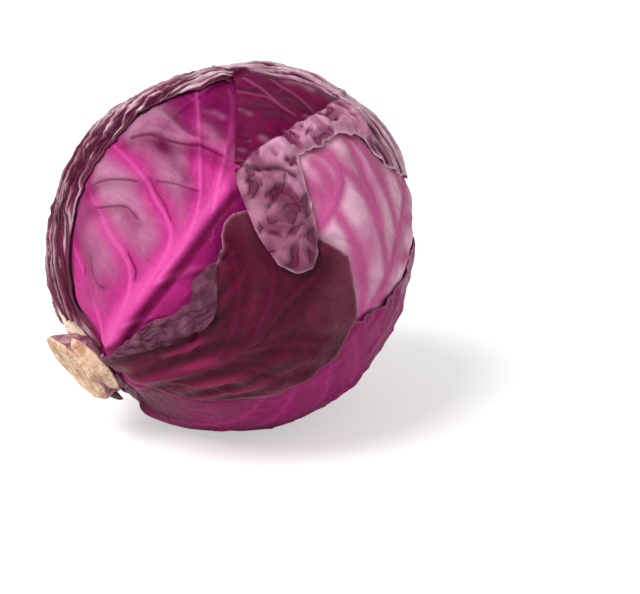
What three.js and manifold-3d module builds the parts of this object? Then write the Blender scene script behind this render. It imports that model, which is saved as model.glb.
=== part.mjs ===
// A whole red cabbage, lying on its side as it was cut: a stalk with its core, a packed heart,
// head leaves wound round it, looser wrapper leaves outside them, and the stubs of trimmed leaves.
//
// Millimetres, +Z up. The origin is the centre of the small flat spot that the head rests on.
// A direction out of the head is given by its angle from the stem axis and its azimuth about that
// axis. Azimuth 0 is the side that the front leaf turns to, and azimuth grows anticlockwise when
// the head is seen from the stem.
import * as THREE from "three";
import { mergeVertices } from "three/addons/utils/BufferGeometryUtils.js";
import Module from "manifold-3d";

const wasm = await Module();
wasm.setup();

// ---- Driving dimensions ----
const HEAD_AXIAL_RADIUS = 79.5; // from the centre to the crown
const HEAD_SIDE_RADIUS = 80.5; // square to the stem axis
const FLAT_DEPTH = 1.8; // how far the head's own weight presses its lowest side in
const STEM_AXIS = new THREE.Vector3(-0.72, -0.408, -0.565).normalize(); // centre to stem end
const FRONT_SIDE = new THREE.Vector3(0, -0.94, 0.342); // where the front leaf turns to
const DIMPLE_DEPTH = 4; // the hollow where the leaf bases gather round the stalk
const DIMPLE_SPREAD = 17; // degrees from the stem axis

const LEAF_THICKNESS = 1.2;
const LEAF_GAP = 1.3; // the air between one leaf and the next
const SETTLE_SPREAD = 12; // degrees past its edge that a leaf still holds the one under it down
const SETTLE_RISE = 0.25; // how fast the one under it then rises again, per degree
const SETTLE_REACH = 30; // degrees past which a leaf no longer matters
const PROBE_COUNT = 8000; // evenly spread directions that the room between leaves is kept for
const RIB_HEIGHT = 1.8; // how far a wrapper's midrib stands out at its base
const RIB_SPREAD = 5; // degrees, half the width of that rib

const STALK_RADIUS = 15; // where the leaves grow from it
const STALK_GAP = 0.7; // leaf bases stop this far from it
const STALK_END = 85; // from the head's centre to the cut
const CORE_END = 4; // how near to the centre the core reaches
const CUT_RADIUS = 18; // the stalk swells a little towards the cut

const HEAD_LEAF_COUNT = 8;
const TURN_PER_LEAF = 137.5; // the spiral that leaves grow in, in degrees
const WRAPPER_GRID = { across: 12, along: 14 };
const HEAD_LEAF_GRID = { across: 10, along: 12 };

// ---- Angles and the head's own axes ----
const rad = THREE.MathUtils.degToRad;
const deg = THREE.MathUtils.radToDeg;
const smooth = (x) => THREE.MathUtils.smoothstep(x, 0, 1);

const axisZero = FRONT_SIDE.clone()
  .addScaledVector(STEM_AXIS, -FRONT_SIDE.dot(STEM_AXIS))
  .normalize();
const axisQuarter = new THREE.Vector3().crossVectors(STEM_AXIS, axisZero);

function azimuthVector(azimuth) {
  return axisZero
    .clone()
    .multiplyScalar(Math.cos(rad(azimuth)))
    .addScaledVector(axisQuarter, Math.sin(rad(azimuth)));
}

// ---- The head's outer form ----
// The head is an ellipsoid about the stem axis. Its lowest point stands on the ground.
const sideSquared = HEAD_SIDE_RADIUS ** 2;
const axialSquared = HEAD_AXIAL_RADIUS ** 2;
const lowestReach = Math.sqrt(
  sideSquared + (axialSquared - sideSquared) * STEM_AXIS.z ** 2,
);
const restHeight = lowestReach - FLAT_DEPTH;
const lowestPoint = new THREE.Vector3(0, 0, -1)
  .multiplyScalar(sideSquared)
  .addScaledVector(STEM_AXIS, (axialSquared - sideSquared) * -STEM_AXIS.z)
  .divideScalar(lowestReach);
const headCentre = new THREE.Vector3(
  -lowestPoint.x,
  -lowestPoint.y,
  restHeight,
);

// The head isn't quite round: one shoulder stands out and the other is flatter. Each is a soft
// rise or sink about a direction out of the centre, spread over an angle.
const SHOULDERS = [
  { way: new THREE.Vector3(0.719, 0.238, 0.653).normalize(), rise: 6.1, spread: 27 },
  { way: new THREE.Vector3(-0.5, 0.296, 0.814).normalize(), rise: -3.9, spread: 24 },
];

function shoulderRise(direction) {
  let total = 0;
  for (const { way, rise, spread } of SHOULDERS) {
    const turn = deg(Math.acos(THREE.MathUtils.clamp(way.dot(direction), -1, 1)));
    total += rise * Math.exp(-((turn / spread) ** 2));
  }
  return total;
}

// How far the ground lets the head reach along a direction out of its centre.
function groundReach(direction) {
  return direction.z < 0 ? restHeight / -direction.z : Infinity;
}

// The distance from the centre to the outermost leaf layer, along a direction.
function headReach(direction) {
  const along = direction.dot(STEM_AXIS);
  const ellipsoid =
    1 /
    Math.sqrt(along ** 2 / axialSquared + (1 - along ** 2) / sideSquared);
  const fromStem = deg(Math.acos(THREE.MathUtils.clamp(along, -1, 1)));
  const dimple = DIMPLE_DEPTH * Math.exp(-((fromStem / DIMPLE_SPREAD) ** 2));
  const reach = ellipsoid - dimple + shoulderRise(direction);
  return Math.min(reach, groundReach(direction));
}

// ---- Leaves ----
// A leaf is laid out in two angles: along, from the stem axis over the head in the plane of its
// midrib, and across, square to that plane. widest and tip are angles along; half is the angle
// across from the midrib to the edge at the widest place, with near and far shares for the side
// of lower and higher azimuth. round sets the tip's form: 2 for a round leaf, 1 for a pointed one.
const LEAF_DEFAULTS = {
  widest: 86,
  tip: 148,
  half: 57,
  near: 1,
  far: 1,
  base: 7,
  fullness: 0.8,
  bow: 2,
  round: 2,
  rib: RIB_HEIGHT,
  crowding: 0.5,
  drift: () => 0,
  grid: WRAPPER_GRID,
};

// The crown leaf leans to one side over the top, then its long tongue curls back down the front.
function crownDrift(along) {
  const lean = 27 * smooth((along - 90) / 100);
  const curl = 22 * (Math.max(0, along - 240) / 34) ** 1.5;
  return curl - lean;
}

// Wrapper leaves, from the outermost in.
const WRAPPER_LEAVES = [
  {
    name: "crown_leaf",
    azimuth: 168,
    widest: 115,
    tip: 275,
    half: 46,
    bow: 1.4,
    round: 1,
    crowding: 0.25,
    drift: crownDrift,
    grid: { across: 12, along: 24 },
  },
  { name: "folded_leaf", azimuth: -30, widest: 92, tip: 130, half: 38, fullness: 2.2 },
  { name: "left_leaf", azimuth: 112, widest: 115, tip: 170, half: 48, base: 14, fullness: 0.55 },
  { name: "front_leaf", azimuth: 10, widest: 84, tip: 143 },
  { name: "under_leaf", azimuth: -112, widest: 84, tip: 150, half: 60 },
  { name: "right_leaf", azimuth: -52, widest: 96, tip: 172, half: 58 },
  { name: "back_leaf", azimuth: -160, widest: 84, tip: 140, half: 62 },
].map((leaf) => ({ ...LEAF_DEFAULTS, ...leaf }));

// Head leaves under them, each a turn of the spiral on from the last and reaching over the crown.
const HEAD_LEAVES = Array.from({ length: HEAD_LEAF_COUNT }, (_, i) => ({
  ...LEAF_DEFAULTS,
  name: `head_leaf_${String(i + 1).padStart(2, "0")}`,
  azimuth: 60 + TURN_PER_LEAF * i,
  widest: 92 + 3 * (i % 3),
  tip: 160 + 9 * (i % 4),
  half: 58,
  rib: 0,
  crowding: 0.3,
  grid: HEAD_LEAF_GRID,
}));

// The angle from a leaf's midrib to its edge, at an angle along and on one side of it.
function halfAngle(leaf, along, side) {
  const share = side < 0 ? leaf.near : leaf.far;
  const start = deg(Math.asin(STALK_RADIUS / HEAD_AXIAL_RADIUS));
  if (along < leaf.widest) {
    const rise = Math.max(0, (along - start) / (leaf.widest - start));
    const full = Math.sin((Math.PI / 2) * rise) ** leaf.fullness;
    return leaf.base + (leaf.half * share - leaf.base) * full;
  }
  const past = Math.min(1, (along - leaf.widest) / (leaf.tip - leaf.widest));
  return leaf.half * share * (1 - past ** leaf.bow) ** (1 / leaf.round);
}

// The unit direction at (along, across) on a leaf.
function leafDirection(leaf, along, across) {
  const out = azimuthVector(leaf.azimuth);
  const side = new THREE.Vector3().crossVectors(STEM_AXIS, out);
  return STEM_AXIS.clone()
    .multiplyScalar(Math.cos(rad(along)) * Math.cos(rad(across)))
    .addScaledVector(out, Math.sin(rad(along)) * Math.cos(rad(across)))
    .addScaledVector(side, Math.sin(rad(across)));
}

// ---- Packing ----
// Leaves are laid from the outermost in, each under the inner faces of those already laid. The
// room left is kept for evenly spread directions. A corner of a leaf takes the least room of the
// directions near it, so that the flat facets between its corners clear the leaf above too.
const GOLDEN_ANGLE = Math.PI * (3 - Math.sqrt(5));
const probes = Array.from({ length: PROBE_COUNT }, (_, i) => {
  const polar = Math.acos(1 - (2 * i + 1) / PROBE_COUNT);
  return new THREE.Vector3().setFromSphericalCoords(1, polar, i * GOLDEN_ANGLE);
});
const room = new Float64Array(PROBE_COUNT).fill(Infinity);

function roomAlong(direction) {
  const near = Math.cos(rad(SETTLE_REACH));
  let least = headReach(direction);
  probes.forEach((probe, i) => {
    const closeness = probe.dot(direction);
    if (room[i] >= least || closeness < near) return;
    const past = deg(Math.acos(Math.min(1, closeness))) - SETTLE_SPREAD;
    least = Math.min(least, room[i] + SETTLE_RISE * Math.max(0, past));
  });
  return least;
}

// Takes the space of a solid, and the gap under it, out of the room.
function takeRoom(geometry) {
  const position = geometry.getAttribute("position");
  const index = geometry.index;
  const corner = (i) =>
    new THREE.Vector3().fromBufferAttribute(position, index.getX(i)).sub(headCentre);
  for (let i = 0; i < index.count; i += 3) {
    const [a, b, c] = [corner(i), corner(i + 1), corner(i + 2)];
    const normal = b.clone().sub(a).cross(c.clone().sub(a));
    const sides = [a.clone().cross(b), b.clone().cross(c), c.clone().cross(a)];
    const middle = a.clone().add(b).add(c).normalize();
    const spread = Math.min(...[a, b, c].map((p) => p.dot(middle) / p.length()));
    probes.forEach((probe, n) => {
      if (probe.dot(middle) < spread) return;
      const signs = sides.map((side) => Math.sign(side.dot(probe)));
      if (signs[0] !== signs[1] || signs[1] !== signs[2]) return;
      const reach = a.dot(normal) / probe.dot(normal);
      room[n] = Math.min(room[n], reach - LEAF_GAP);
    });
  }
}

// The height of a leaf's midrib above its blade.
function ribHeight(leaf, along, off) {
  const fade = 1 - smooth(along / leaf.tip);
  return leaf.rib * fade * Math.exp(-((off / RIB_SPREAD) ** 2));
}

// Turns a direction away from the stem axis until a point at this reach clears the stalk.
function clearOfStalk(direction, reach) {
  const least = Math.asin((STALK_RADIUS + STALK_GAP) / reach);
  const along = direction.dot(STEM_AXIS);
  if (Math.acos(Math.min(1, along)) >= least) return direction;
  const out = direction.clone().addScaledVector(STEM_AXIS, -along).normalize();
  return STEM_AXIS.clone()
    .multiplyScalar(Math.cos(least))
    .addScaledVector(out, Math.sin(least));
}

// The angle along at which a leaf meets the stalk.
function baseAngle(leaf) {
  for (let along = 9; ; along += 0.5) {
    const reach = roomAlong(leafDirection(leaf, along, leaf.drift(along))) - LEAF_THICKNESS;
    if (reach * Math.sin(rad(along)) > STALK_RADIUS + STALK_GAP) return along;
  }
}

// A closed solid for one leaf: a thin box, laid out in along and across, bent round the head.
// Its rows crowd towards the tip, and its columns towards the midrib.
function leafGeometry(leaf) {
  const { across: columns, along: rows } = leaf.grid;
  const leafBox = new THREE.BoxGeometry(2, 1, 1, columns, rows, 1);
  const position = leafBox.getAttribute("position");
  const start = baseAngle(leaf);
  for (let i = 0; i < position.count; i++) {
    const share = -position.getX(i);
    const row = position.getY(i) + 0.5;
    const thickness = position.getZ(i) > 0 ? 0 : LEAF_THICKNESS;
    const crowded = Math.sin((Math.PI / 2) * row);
    const step = THREE.MathUtils.lerp(row, crowded, leaf.crowding);
    const along = start + (leaf.tip - 0.7 - start) * step;
    const side = Math.sign(share) * Math.abs(share) ** 1.25;
    const off = side * Math.max(2.5, halfAngle(leaf, along, share));
    let direction = leafDirection(leaf, along, leaf.drift(along) + off);
    for (let turn = 0; turn < 3; turn++)
      direction = clearOfStalk(direction, roomAlong(direction) - LEAF_THICKNESS);
    const ribbed = headReach(direction) + ribHeight(leaf, along, off);
    const free = roomAlong(direction);
    const outer = free < headReach(direction) ? free : Math.min(ribbed, groundReach(direction));
    const point = direction.multiplyScalar(outer - thickness).add(headCentre);
    position.setXYZ(i, point.x, point.y, point.z);
  }
  takeRoom(leafBox);
  return leafBox;
}

// ---- Stalk, trimmed leaf bases and heart ----
// Turns a lathe's +Y to the stem axis and puts its origin at the head's centre.
const alongStem = new THREE.Matrix4()
  .makeRotationFromQuaternion(
    new THREE.Quaternion().setFromUnitVectors(new THREE.Vector3(0, 1, 0), STEM_AXIS),
  )
  .setPosition(headCentre);

// The stalk's profile, from the tip of the core to the cut, grown by a clearance.
function stalkProfile(clearance) {
  const profile = [
    [0, CORE_END - clearance],
    [5, CORE_END + 1 - clearance],
    [8, CORE_END + 6],
    [11, CORE_END + 18],
    [STALK_RADIUS - 0.5, 38],
    [STALK_RADIUS, 46],
    [STALK_RADIUS, STALK_END - 15],
    [STALK_RADIUS + 0.6, STALK_END - 9],
    [CUT_RADIUS, STALK_END - 4],
    [CUT_RADIUS, STALK_END - 1.2],
    [CUT_RADIUS - 1, STALK_END],
    [0, STALK_END],
  ];
  return profile.map(
    ([radius, height]) => new THREE.Vector2(radius ? radius + clearance : 0, height),
  );
}

function stalkGeometry(clearance) {
  return new THREE.LatheGeometry(stalkProfile(clearance), 28).applyMatrix4(alongStem);
}

// The stub of a trimmed leaf: a short curved slab that clasps the stalk just under the cut.
function stubGeometry({ azimuth, spread, low, high, thick }) {
  const slab = new THREE.BoxGeometry(1, 1, 1, 8, 2, 1);
  const position = slab.getAttribute("position");
  for (let i = 0; i < position.count; i++) {
    const round = position.getX(i) * 2;
    const up = position.getY(i) + 0.5;
    const isOuter = position.getZ(i) > 0;
    const turn = azimuth + round * spread * (1 - 0.25 * up);
    const height = low + (high - low) * up * (1 - 0.35 * round ** 2);
    const swell = thick * (0.6 + 0.4 * up) * (1 - 0.6 * round ** 2);
    const radius = CUT_RADIUS + 0.6 + (isOuter ? swell + 0.8 : 0);
    const point = azimuthVector(turn)
      .multiplyScalar(radius)
      .addScaledVector(STEM_AXIS, height)
      .add(headCentre);
    position.setXYZ(i, point.x, point.y, point.z);
  }
  return slab;
}

const LEAF_STUBS = [
  { name: "trimmed_stub_upper", azimuth: 95, spread: 38, low: 77.5, high: 83.5, thick: 2.2 },
  { name: "trimmed_stub_front", azimuth: 8, spread: 40, low: 78, high: 84.5, thick: 2.6 },
  { name: "trimmed_stub_lower", azimuth: -120, spread: 42, low: 78, high: 84, thick: 2.2 },
];

function heartGeometry() {
  const ball = new THREE.SphereGeometry(1, 24, 16).applyMatrix4(
    new THREE.Matrix4().makeRotationFromQuaternion(
      new THREE.Quaternion().setFromUnitVectors(new THREE.Vector3(0, 1, 0), STEM_AXIS),
    ),
  );
  const position = ball.getAttribute("position");
  for (let i = 0; i < position.count; i++) {
    const direction = new THREE.Vector3().fromBufferAttribute(position, i).normalize();
    const point = direction.multiplyScalar(roomAlong(direction)).add(headCentre);
    position.setXYZ(i, point.x, point.y, point.z);
  }
  return ball;
}

// ---- Solids ----
function toSolid(geometry) {
  const bare = geometry.clone();
  bare.deleteAttribute("normal");
  bare.deleteAttribute("uv");
  const merged = mergeVertices(bare, 1e-3);
  return new wasm.Manifold(
    new wasm.Mesh({
      numProp: 3,
      vertProperties: merged.getAttribute("position").array,
      triVerts: new Uint32Array(merged.index.array),
    }),
  );
}

function fromSolid(solid) {
  const { numProp, vertProperties, triVerts } = solid.getMesh();
  const positions = new Float32Array((vertProperties.length / numProp) * 3);
  for (let i = 0; i * numProp < vertProperties.length; i++)
    positions.set(vertProperties.subarray(i * numProp, i * numProp + 3), i * 3);
  const geometry = new THREE.BufferGeometry();
  geometry.setAttribute("position", new THREE.BufferAttribute(positions, 3));
  geometry.setIndex(new THREE.BufferAttribute(triVerts, 1));
  geometry.computeVertexNormals();
  return geometry;
}

// The heart is packed round the core, so the core's own space is cut out of it.
function hollowedHeart() {
  const core = toSolid(stalkGeometry(0.5));
  return fromSolid(toSolid(heartGeometry()).subtract(core));
}

// ---- The cabbage ----
const leafMaterial = new THREE.MeshStandardMaterial({ color: 0x8a2258, roughness: 0.42 });
const headLeafMaterial = new THREE.MeshStandardMaterial({ color: 0x9c4a78, roughness: 0.5 });
const heartMaterial = new THREE.MeshStandardMaterial({ color: 0xc9a3c4, roughness: 0.6 });
const stalkMaterial = new THREE.MeshStandardMaterial({ color: 0xd9b795, roughness: 0.8 });
const stubMaterial = new THREE.MeshStandardMaterial({ color: 0xc49a80, roughness: 0.8 });

function piece(name, geometry, material) {
  const mesh = new THREE.Mesh(geometry, material);
  mesh.name = name;
  return mesh;
}

const cabbage = new THREE.Group();
cabbage.add(piece("stalk", stalkGeometry(0), stalkMaterial));
for (const leaf of WRAPPER_LEAVES) cabbage.add(piece(leaf.name, leafGeometry(leaf), leafMaterial));
for (const leaf of HEAD_LEAVES) cabbage.add(piece(leaf.name, leafGeometry(leaf), headLeafMaterial));
cabbage.add(piece("heart", hollowedHeart(), heartMaterial));
for (const stub of LEAF_STUBS) cabbage.add(piece(stub.name, stubGeometry(stub), stubMaterial));

export default cabbage;
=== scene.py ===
"""A whole red cabbage lying on its side: cut stalk, trimmed leaf stubs, wrapper leaves and the head inside.

Sizes inside the classes are in millimetres and degrees; a mesh is turned to metres when it is written.
A place on a leaf is given by two angles from the middle of the head. Along runs from the stem axis
over the head in the plane of the leaf's midrib, and across runs square to that plane.
"""

from __future__ import annotations

import logging
import math
from dataclasses import dataclass, replace
from enum import Enum
from functools import cached_property

import bmesh
import bpy
import numpy as np
from mathutils import Matrix, Vector

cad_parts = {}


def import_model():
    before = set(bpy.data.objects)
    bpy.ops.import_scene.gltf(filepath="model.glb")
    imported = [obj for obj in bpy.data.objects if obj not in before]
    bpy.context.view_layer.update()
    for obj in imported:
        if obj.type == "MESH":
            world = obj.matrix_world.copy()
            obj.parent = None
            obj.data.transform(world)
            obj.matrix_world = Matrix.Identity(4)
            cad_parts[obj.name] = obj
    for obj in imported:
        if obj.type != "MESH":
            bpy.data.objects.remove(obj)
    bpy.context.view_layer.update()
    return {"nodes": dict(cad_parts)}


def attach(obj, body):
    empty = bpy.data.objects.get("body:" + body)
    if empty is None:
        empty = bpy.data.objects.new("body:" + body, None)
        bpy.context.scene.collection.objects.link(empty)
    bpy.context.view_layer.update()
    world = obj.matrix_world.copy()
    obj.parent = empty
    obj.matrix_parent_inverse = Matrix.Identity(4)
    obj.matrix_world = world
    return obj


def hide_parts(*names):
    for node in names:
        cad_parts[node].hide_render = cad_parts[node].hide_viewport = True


LOG = logging.getLogger("red_cabbage")
MM = 0.001
DEGREE = math.pi / 180.0
MEAN_RADIUS = 80.0
MM_PER_DEGREE = MEAN_RADIUS * DEGREE
FAR_OFF = 40.0
LAYOUT_NAME = "leaf_layout"
SKIN_MASK = "skin"
BODY = "root"
FOOT = 10.0
OUTLINE_STEPS = 1500
SMALL = 1e-6
WHITE = (1.0, 1.0, 1.0, 1.0)

Array = np.ndarray
Mesh = bpy.types.Mesh
Object = bpy.types.Object
Material = bpy.types.Material
NodeTree = bpy.types.NodeTree
Node = bpy.types.Node
Socket = bpy.types.NodeSocket
Wire = Socket | float | tuple
Colour = tuple[float, float, float, float]
Tone = tuple[int, int, int]
Way = tuple[float, float, float]
Path = tuple[tuple[float, float], ...]
Laid = tuple[Array, Array, Array, Array]


# ---- numbers and noise


def tone(red: int, green: int, blue: int) -> Colour:
    """Turns a colour written on a 0 to 255 scale into the linear colour that a shader takes.

    Args:
        red: Red, 0 to 255.
        green: Green, 0 to 255.
        blue: Blue, 0 to 255.

    Returns:
        The linear colour with full alpha.
    """
    channels = [value / 255.0 for value in (red, green, blue)]
    linear = [c / 12.92 if c <= 0.04045 else ((c + 0.055) / 1.055) ** 2.4 for c in channels]
    return (linear[0], linear[1], linear[2], 1.0)


def ease(low: float, high: float, value: Array) -> Array:
    """Rises smoothly from 0 at low to 1 at high; low may be the larger of the two.

    Args:
        low: Where the result is 0.
        high: Where the result is 1.
        value: The numbers to judge.

    Returns:
        Shares from 0 to 1.
    """
    share = np.clip((value - low) / (high - low), 0.0, 1.0)
    return share * share * (3.0 - 2.0 * share)


def hump(value: Array, width: float) -> Array:
    """A rounded bump of height 1 about 0, a width wide to each side."""
    return np.exp(-((value / width) ** 2))


def unit(vectors: Array) -> Array:
    """Scales each row to length 1."""
    return vectors / np.linalg.norm(vectors, axis=-1, keepdims=True)


def through(points: Path, at: Array) -> Array:
    """A smooth curve through given points that never swings past them.

    Args:
        points: (place, value) pairs in rising order of place.
        at: The places to read the curve at.

    Returns:
        The value at each place, held level past the two ends.
    """
    place, value = np.array(points, float).T
    gap = np.diff(place)
    slope = np.diff(value) / gap
    tangent = np.zeros_like(value)
    same_way = slope[:-1] * slope[1:] > 0
    mean = 2.0 * slope[:-1] * slope[1:] / np.where(same_way, slope[:-1] + slope[1:], 1.0)
    tangent[1:-1] = np.where(same_way, mean, 0.0)
    tangent[0], tangent[-1] = slope[0], slope[-1]
    where = np.clip(at, place[0], place[-1])
    index = np.clip(np.searchsorted(place, where) - 1, 0, len(gap) - 1)
    width = gap[index]
    share = (where - place[index]) / width
    cube, square = share**3, share**2
    return (
        (2 * cube - 3 * square + 1) * value[index]
        + (cube - 2 * square + share) * width * tangent[index]
        + (3 * square - 2 * cube) * value[index + 1]
        + (cube - square) * width * tangent[index + 1]
    )


def spline(path: Path, steps: int) -> Array:
    """Draws a rounded line through places on a leaf.

    Args:
        path: The places to pass through.
        steps: How many straight steps to lay between two places.

    Returns:
        The points of the line, with both ends.
    """
    points = np.array(path, float)
    padded = np.vstack([2 * points[0] - points[1], points, 2 * points[-1] - points[-2]])
    drawn = []
    for before, start, end, after in zip(padded, padded[1:], padded[2:], padded[3:]):
        for share in np.arange(steps) / steps:
            drawn.append(
                0.5
                * (
                    2 * start
                    + (end - before) * share
                    + (2 * before - 5 * start + 4 * end - after) * share**2
                    + (3 * start - before - 3 * end + after) * share**3
                )
            )
    return np.array(drawn + [points[-1]])


@dataclass(frozen=True)
class Waves:
    """Smooth seeded noise from about -1 to 1, made of plane waves that cross one another."""

    length: float
    seed: int
    count: int = 16

    def at(self, points: Array) -> Array:
        """Reads the noise at points.

        Args:
            points: One point a row.

        Returns:
            The noise at each point.
        """
        rng = np.random.default_rng(self.seed)
        ways = unit(rng.normal(size=(self.count, points.shape[1])))
        pitch = 2 * math.pi / (self.length * rng.uniform(0.7, 1.5, self.count))
        phase = rng.uniform(0, 2 * math.pi, self.count)
        total = np.sin(points @ (ways * pitch[:, None]).T + phase).sum(axis=1)
        return np.clip(total / (1.3 * math.sqrt(self.count)), -1.0, 1.0)


@dataclass(frozen=True)
class Cells:
    """Seeded rounded cells, packed like blisters on a leaf."""

    size: float
    seed: int
    spread: int = 12

    def domes(self, points: Array, seam: float = 0.5) -> Array:
        """Gives the height of a dome over each cell.

        Args:
            points: One point a row, in millimetres.
            seam: How far the valley between two cells reaches, as a share of a cell.

        Returns:
            0 in the valleys and 1 on the domes.
        """
        shifts = np.random.default_rng(self.seed).uniform(0.1, 0.9, (self.spread,) * 3 + (3,))
        scaled = points / self.size
        home = np.floor(scaled).astype(int)
        nearest = np.full(len(points), 9.0)
        second = np.full(len(points), 9.0)
        for step in np.ndindex(3, 3, 3):
            cell = home + np.array(step) - 1
            wrapped = cell % self.spread
            seed_point = cell + shifts[wrapped[:, 0], wrapped[:, 1], wrapped[:, 2]]
            distance = np.linalg.norm(scaled - seed_point, axis=1)
            second = np.minimum(second, np.maximum(distance, nearest))
            nearest = np.minimum(nearest, distance)
        return ease(0.0, seam, second - nearest)


@dataclass(frozen=True)
class Strands:
    """Seeded strands that run one way, part and join again, like pleats or fibres."""

    pitch: float
    length: float
    seed: int

    def side(self, across: Array, along: Array) -> Array:
        """Each place's side of the nearest crest: 0 on it, up to 1 on one side and -1 on the other."""
        noise = Waves(2.0, self.seed, 22).at(np.column_stack([across / self.pitch, along / self.length]))
        return np.clip(1.5 * noise, -1, 1)

    def at(self, across: Array, along: Array) -> Array:
        """The height of the strands at the same places: 0 between them and 1 on their crests."""
        return 1 - np.abs(self.side(across, along))


@dataclass(frozen=True)
class Pillows:
    """Seeded soft pillows of uneven size, with fine lines in the hollows between them."""

    size: float
    seed: int

    def at(self, points: Array) -> tuple[Array, Array, Array]:
        """Gives the height of the pillows.

        Args:
            points: One point a row, in millimetres.

        Returns:
            Heights from 0 to 1, then a field that is 0 along fine lines in the hollows, and how
            strong those lines are.
        """
        drift = np.column_stack([Waves(1.3 * self.size, self.seed + step).at(points) for step in (1, 2, 3)])
        bent = points + 0.2 * self.size * drift
        large = Waves(self.size, self.seed + 4, 20).at(bent)
        small = Waves(0.5 * self.size, self.seed + 5, 20).at(bent)
        pillow = ease(-0.7, 0.45, large)
        bubble = ease(-0.8, 0.6, small)
        return 0.66 * pillow + 0.34 * bubble, 2.5 * (small + 0.3), ease(0.35, -0.2, large)


# ---- the head's form


@dataclass(frozen=True)
class Shoulder:
    """A soft rise of the head about one direction, or a sink where the rise is less than 0."""

    way: Way
    rise: float
    spread: float

    def at(self, ways: Array) -> Array:
        """How far it moves the head's surface along each direction."""
        turn = np.arccos(np.clip(ways @ unit(np.array(self.way)), -1, 1)) / DEGREE
        return self.rise * hump(turn, self.spread)


@dataclass(frozen=True)
class HeadForm:
    """The head as a whole: an ellipsoid about the stem axis that stands on its lowest side."""

    axial_radius: float = 79.5
    side_radius: float = 80.5
    flat_depth: float = 1.8
    dimple_depth: float = 4.0
    dimple_spread: float = 17.0
    stalk_radius: float = 14.4
    lump_height: float = 0.9
    lump_length: float = 55.0
    stem_way: Way = (-0.72, -0.408, -0.565)
    front_way: Way = (0.0, -0.94, 0.342)
    shoulders: tuple[Shoulder, ...] = (
        Shoulder((0.719, 0.238, 0.653), 6.1, 27.0),
        Shoulder((-0.5, 0.296, 0.814), -3.9, 24.0),
    )

    @cached_property
    def stem(self) -> Array:
        """The unit direction from the middle of the head to the stem end."""
        return unit(np.array(self.stem_way))

    @cached_property
    def side_axes(self) -> tuple[Array, Array]:
        """Finds the two directions square to the stem axis.

        Returns:
            The directions of azimuth 0 and 90.
        """
        front = np.array(self.front_way)
        zero = unit(front - front.dot(self.stem) * self.stem)
        return zero, np.cross(self.stem, zero)

    @cached_property
    def lowest_reach(self) -> float:
        """How far the ellipsoid reaches straight down."""
        side, axial = self.side_radius**2, self.axial_radius**2
        return math.sqrt(side + (axial - side) * self.stem[2] ** 2)

    @cached_property
    def rest_height(self) -> float:
        """The height of the middle of the head above the ground."""
        return self.lowest_reach - self.flat_depth

    @cached_property
    def centre(self) -> Array:
        """Finds the middle of the head, with its lowest point over the origin.

        Returns:
            The place, in millimetres.
        """
        side, axial = self.side_radius**2, self.axial_radius**2
        down = np.array([0.0, 0.0, -side])
        lowest = (down - self.stem * (axial - side) * self.stem[2]) / self.lowest_reach
        return np.array([-lowest[0], -lowest[1], self.rest_height])

    def azimuth(self, angle: float) -> Array:
        """The direction square to the stem axis at an azimuth, in degrees."""
        zero, quarter = self.side_axes
        return zero * math.cos(angle * DEGREE) + quarter * math.sin(angle * DEGREE)

    def ground(self, ways: Array) -> Array:
        """How far the ground lets the head reach along each direction."""
        down = np.minimum(ways[:, 2], -SMALL)
        return np.where(ways[:, 2] < 0, -self.rest_height / down, np.inf)

    def reach(self, ways: Array) -> Array:
        """How far the head reaches along each direction, lumps included.

        Args:
            ways: Unit directions out of the middle of the head, one a row.

        Returns:
            Distances from the middle.
        """
        along = ways @ self.stem
        axial = along**2 / self.axial_radius**2
        side = (1 - along**2) / self.side_radius**2
        from_stem = np.arccos(np.clip(along, -1, 1)) / DEGREE
        dimple = self.dimple_depth * hump(from_stem, self.dimple_spread)
        lumps = self.lump_height * Waves(self.lump_length, seed=5).at(ways * MEAN_RADIUS)
        shoulders = sum(shoulder.at(ways) for shoulder in self.shoulders)
        return 1 / np.sqrt(axial + side) - dimple + lumps + shoulders


# ---- node wiring


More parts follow.
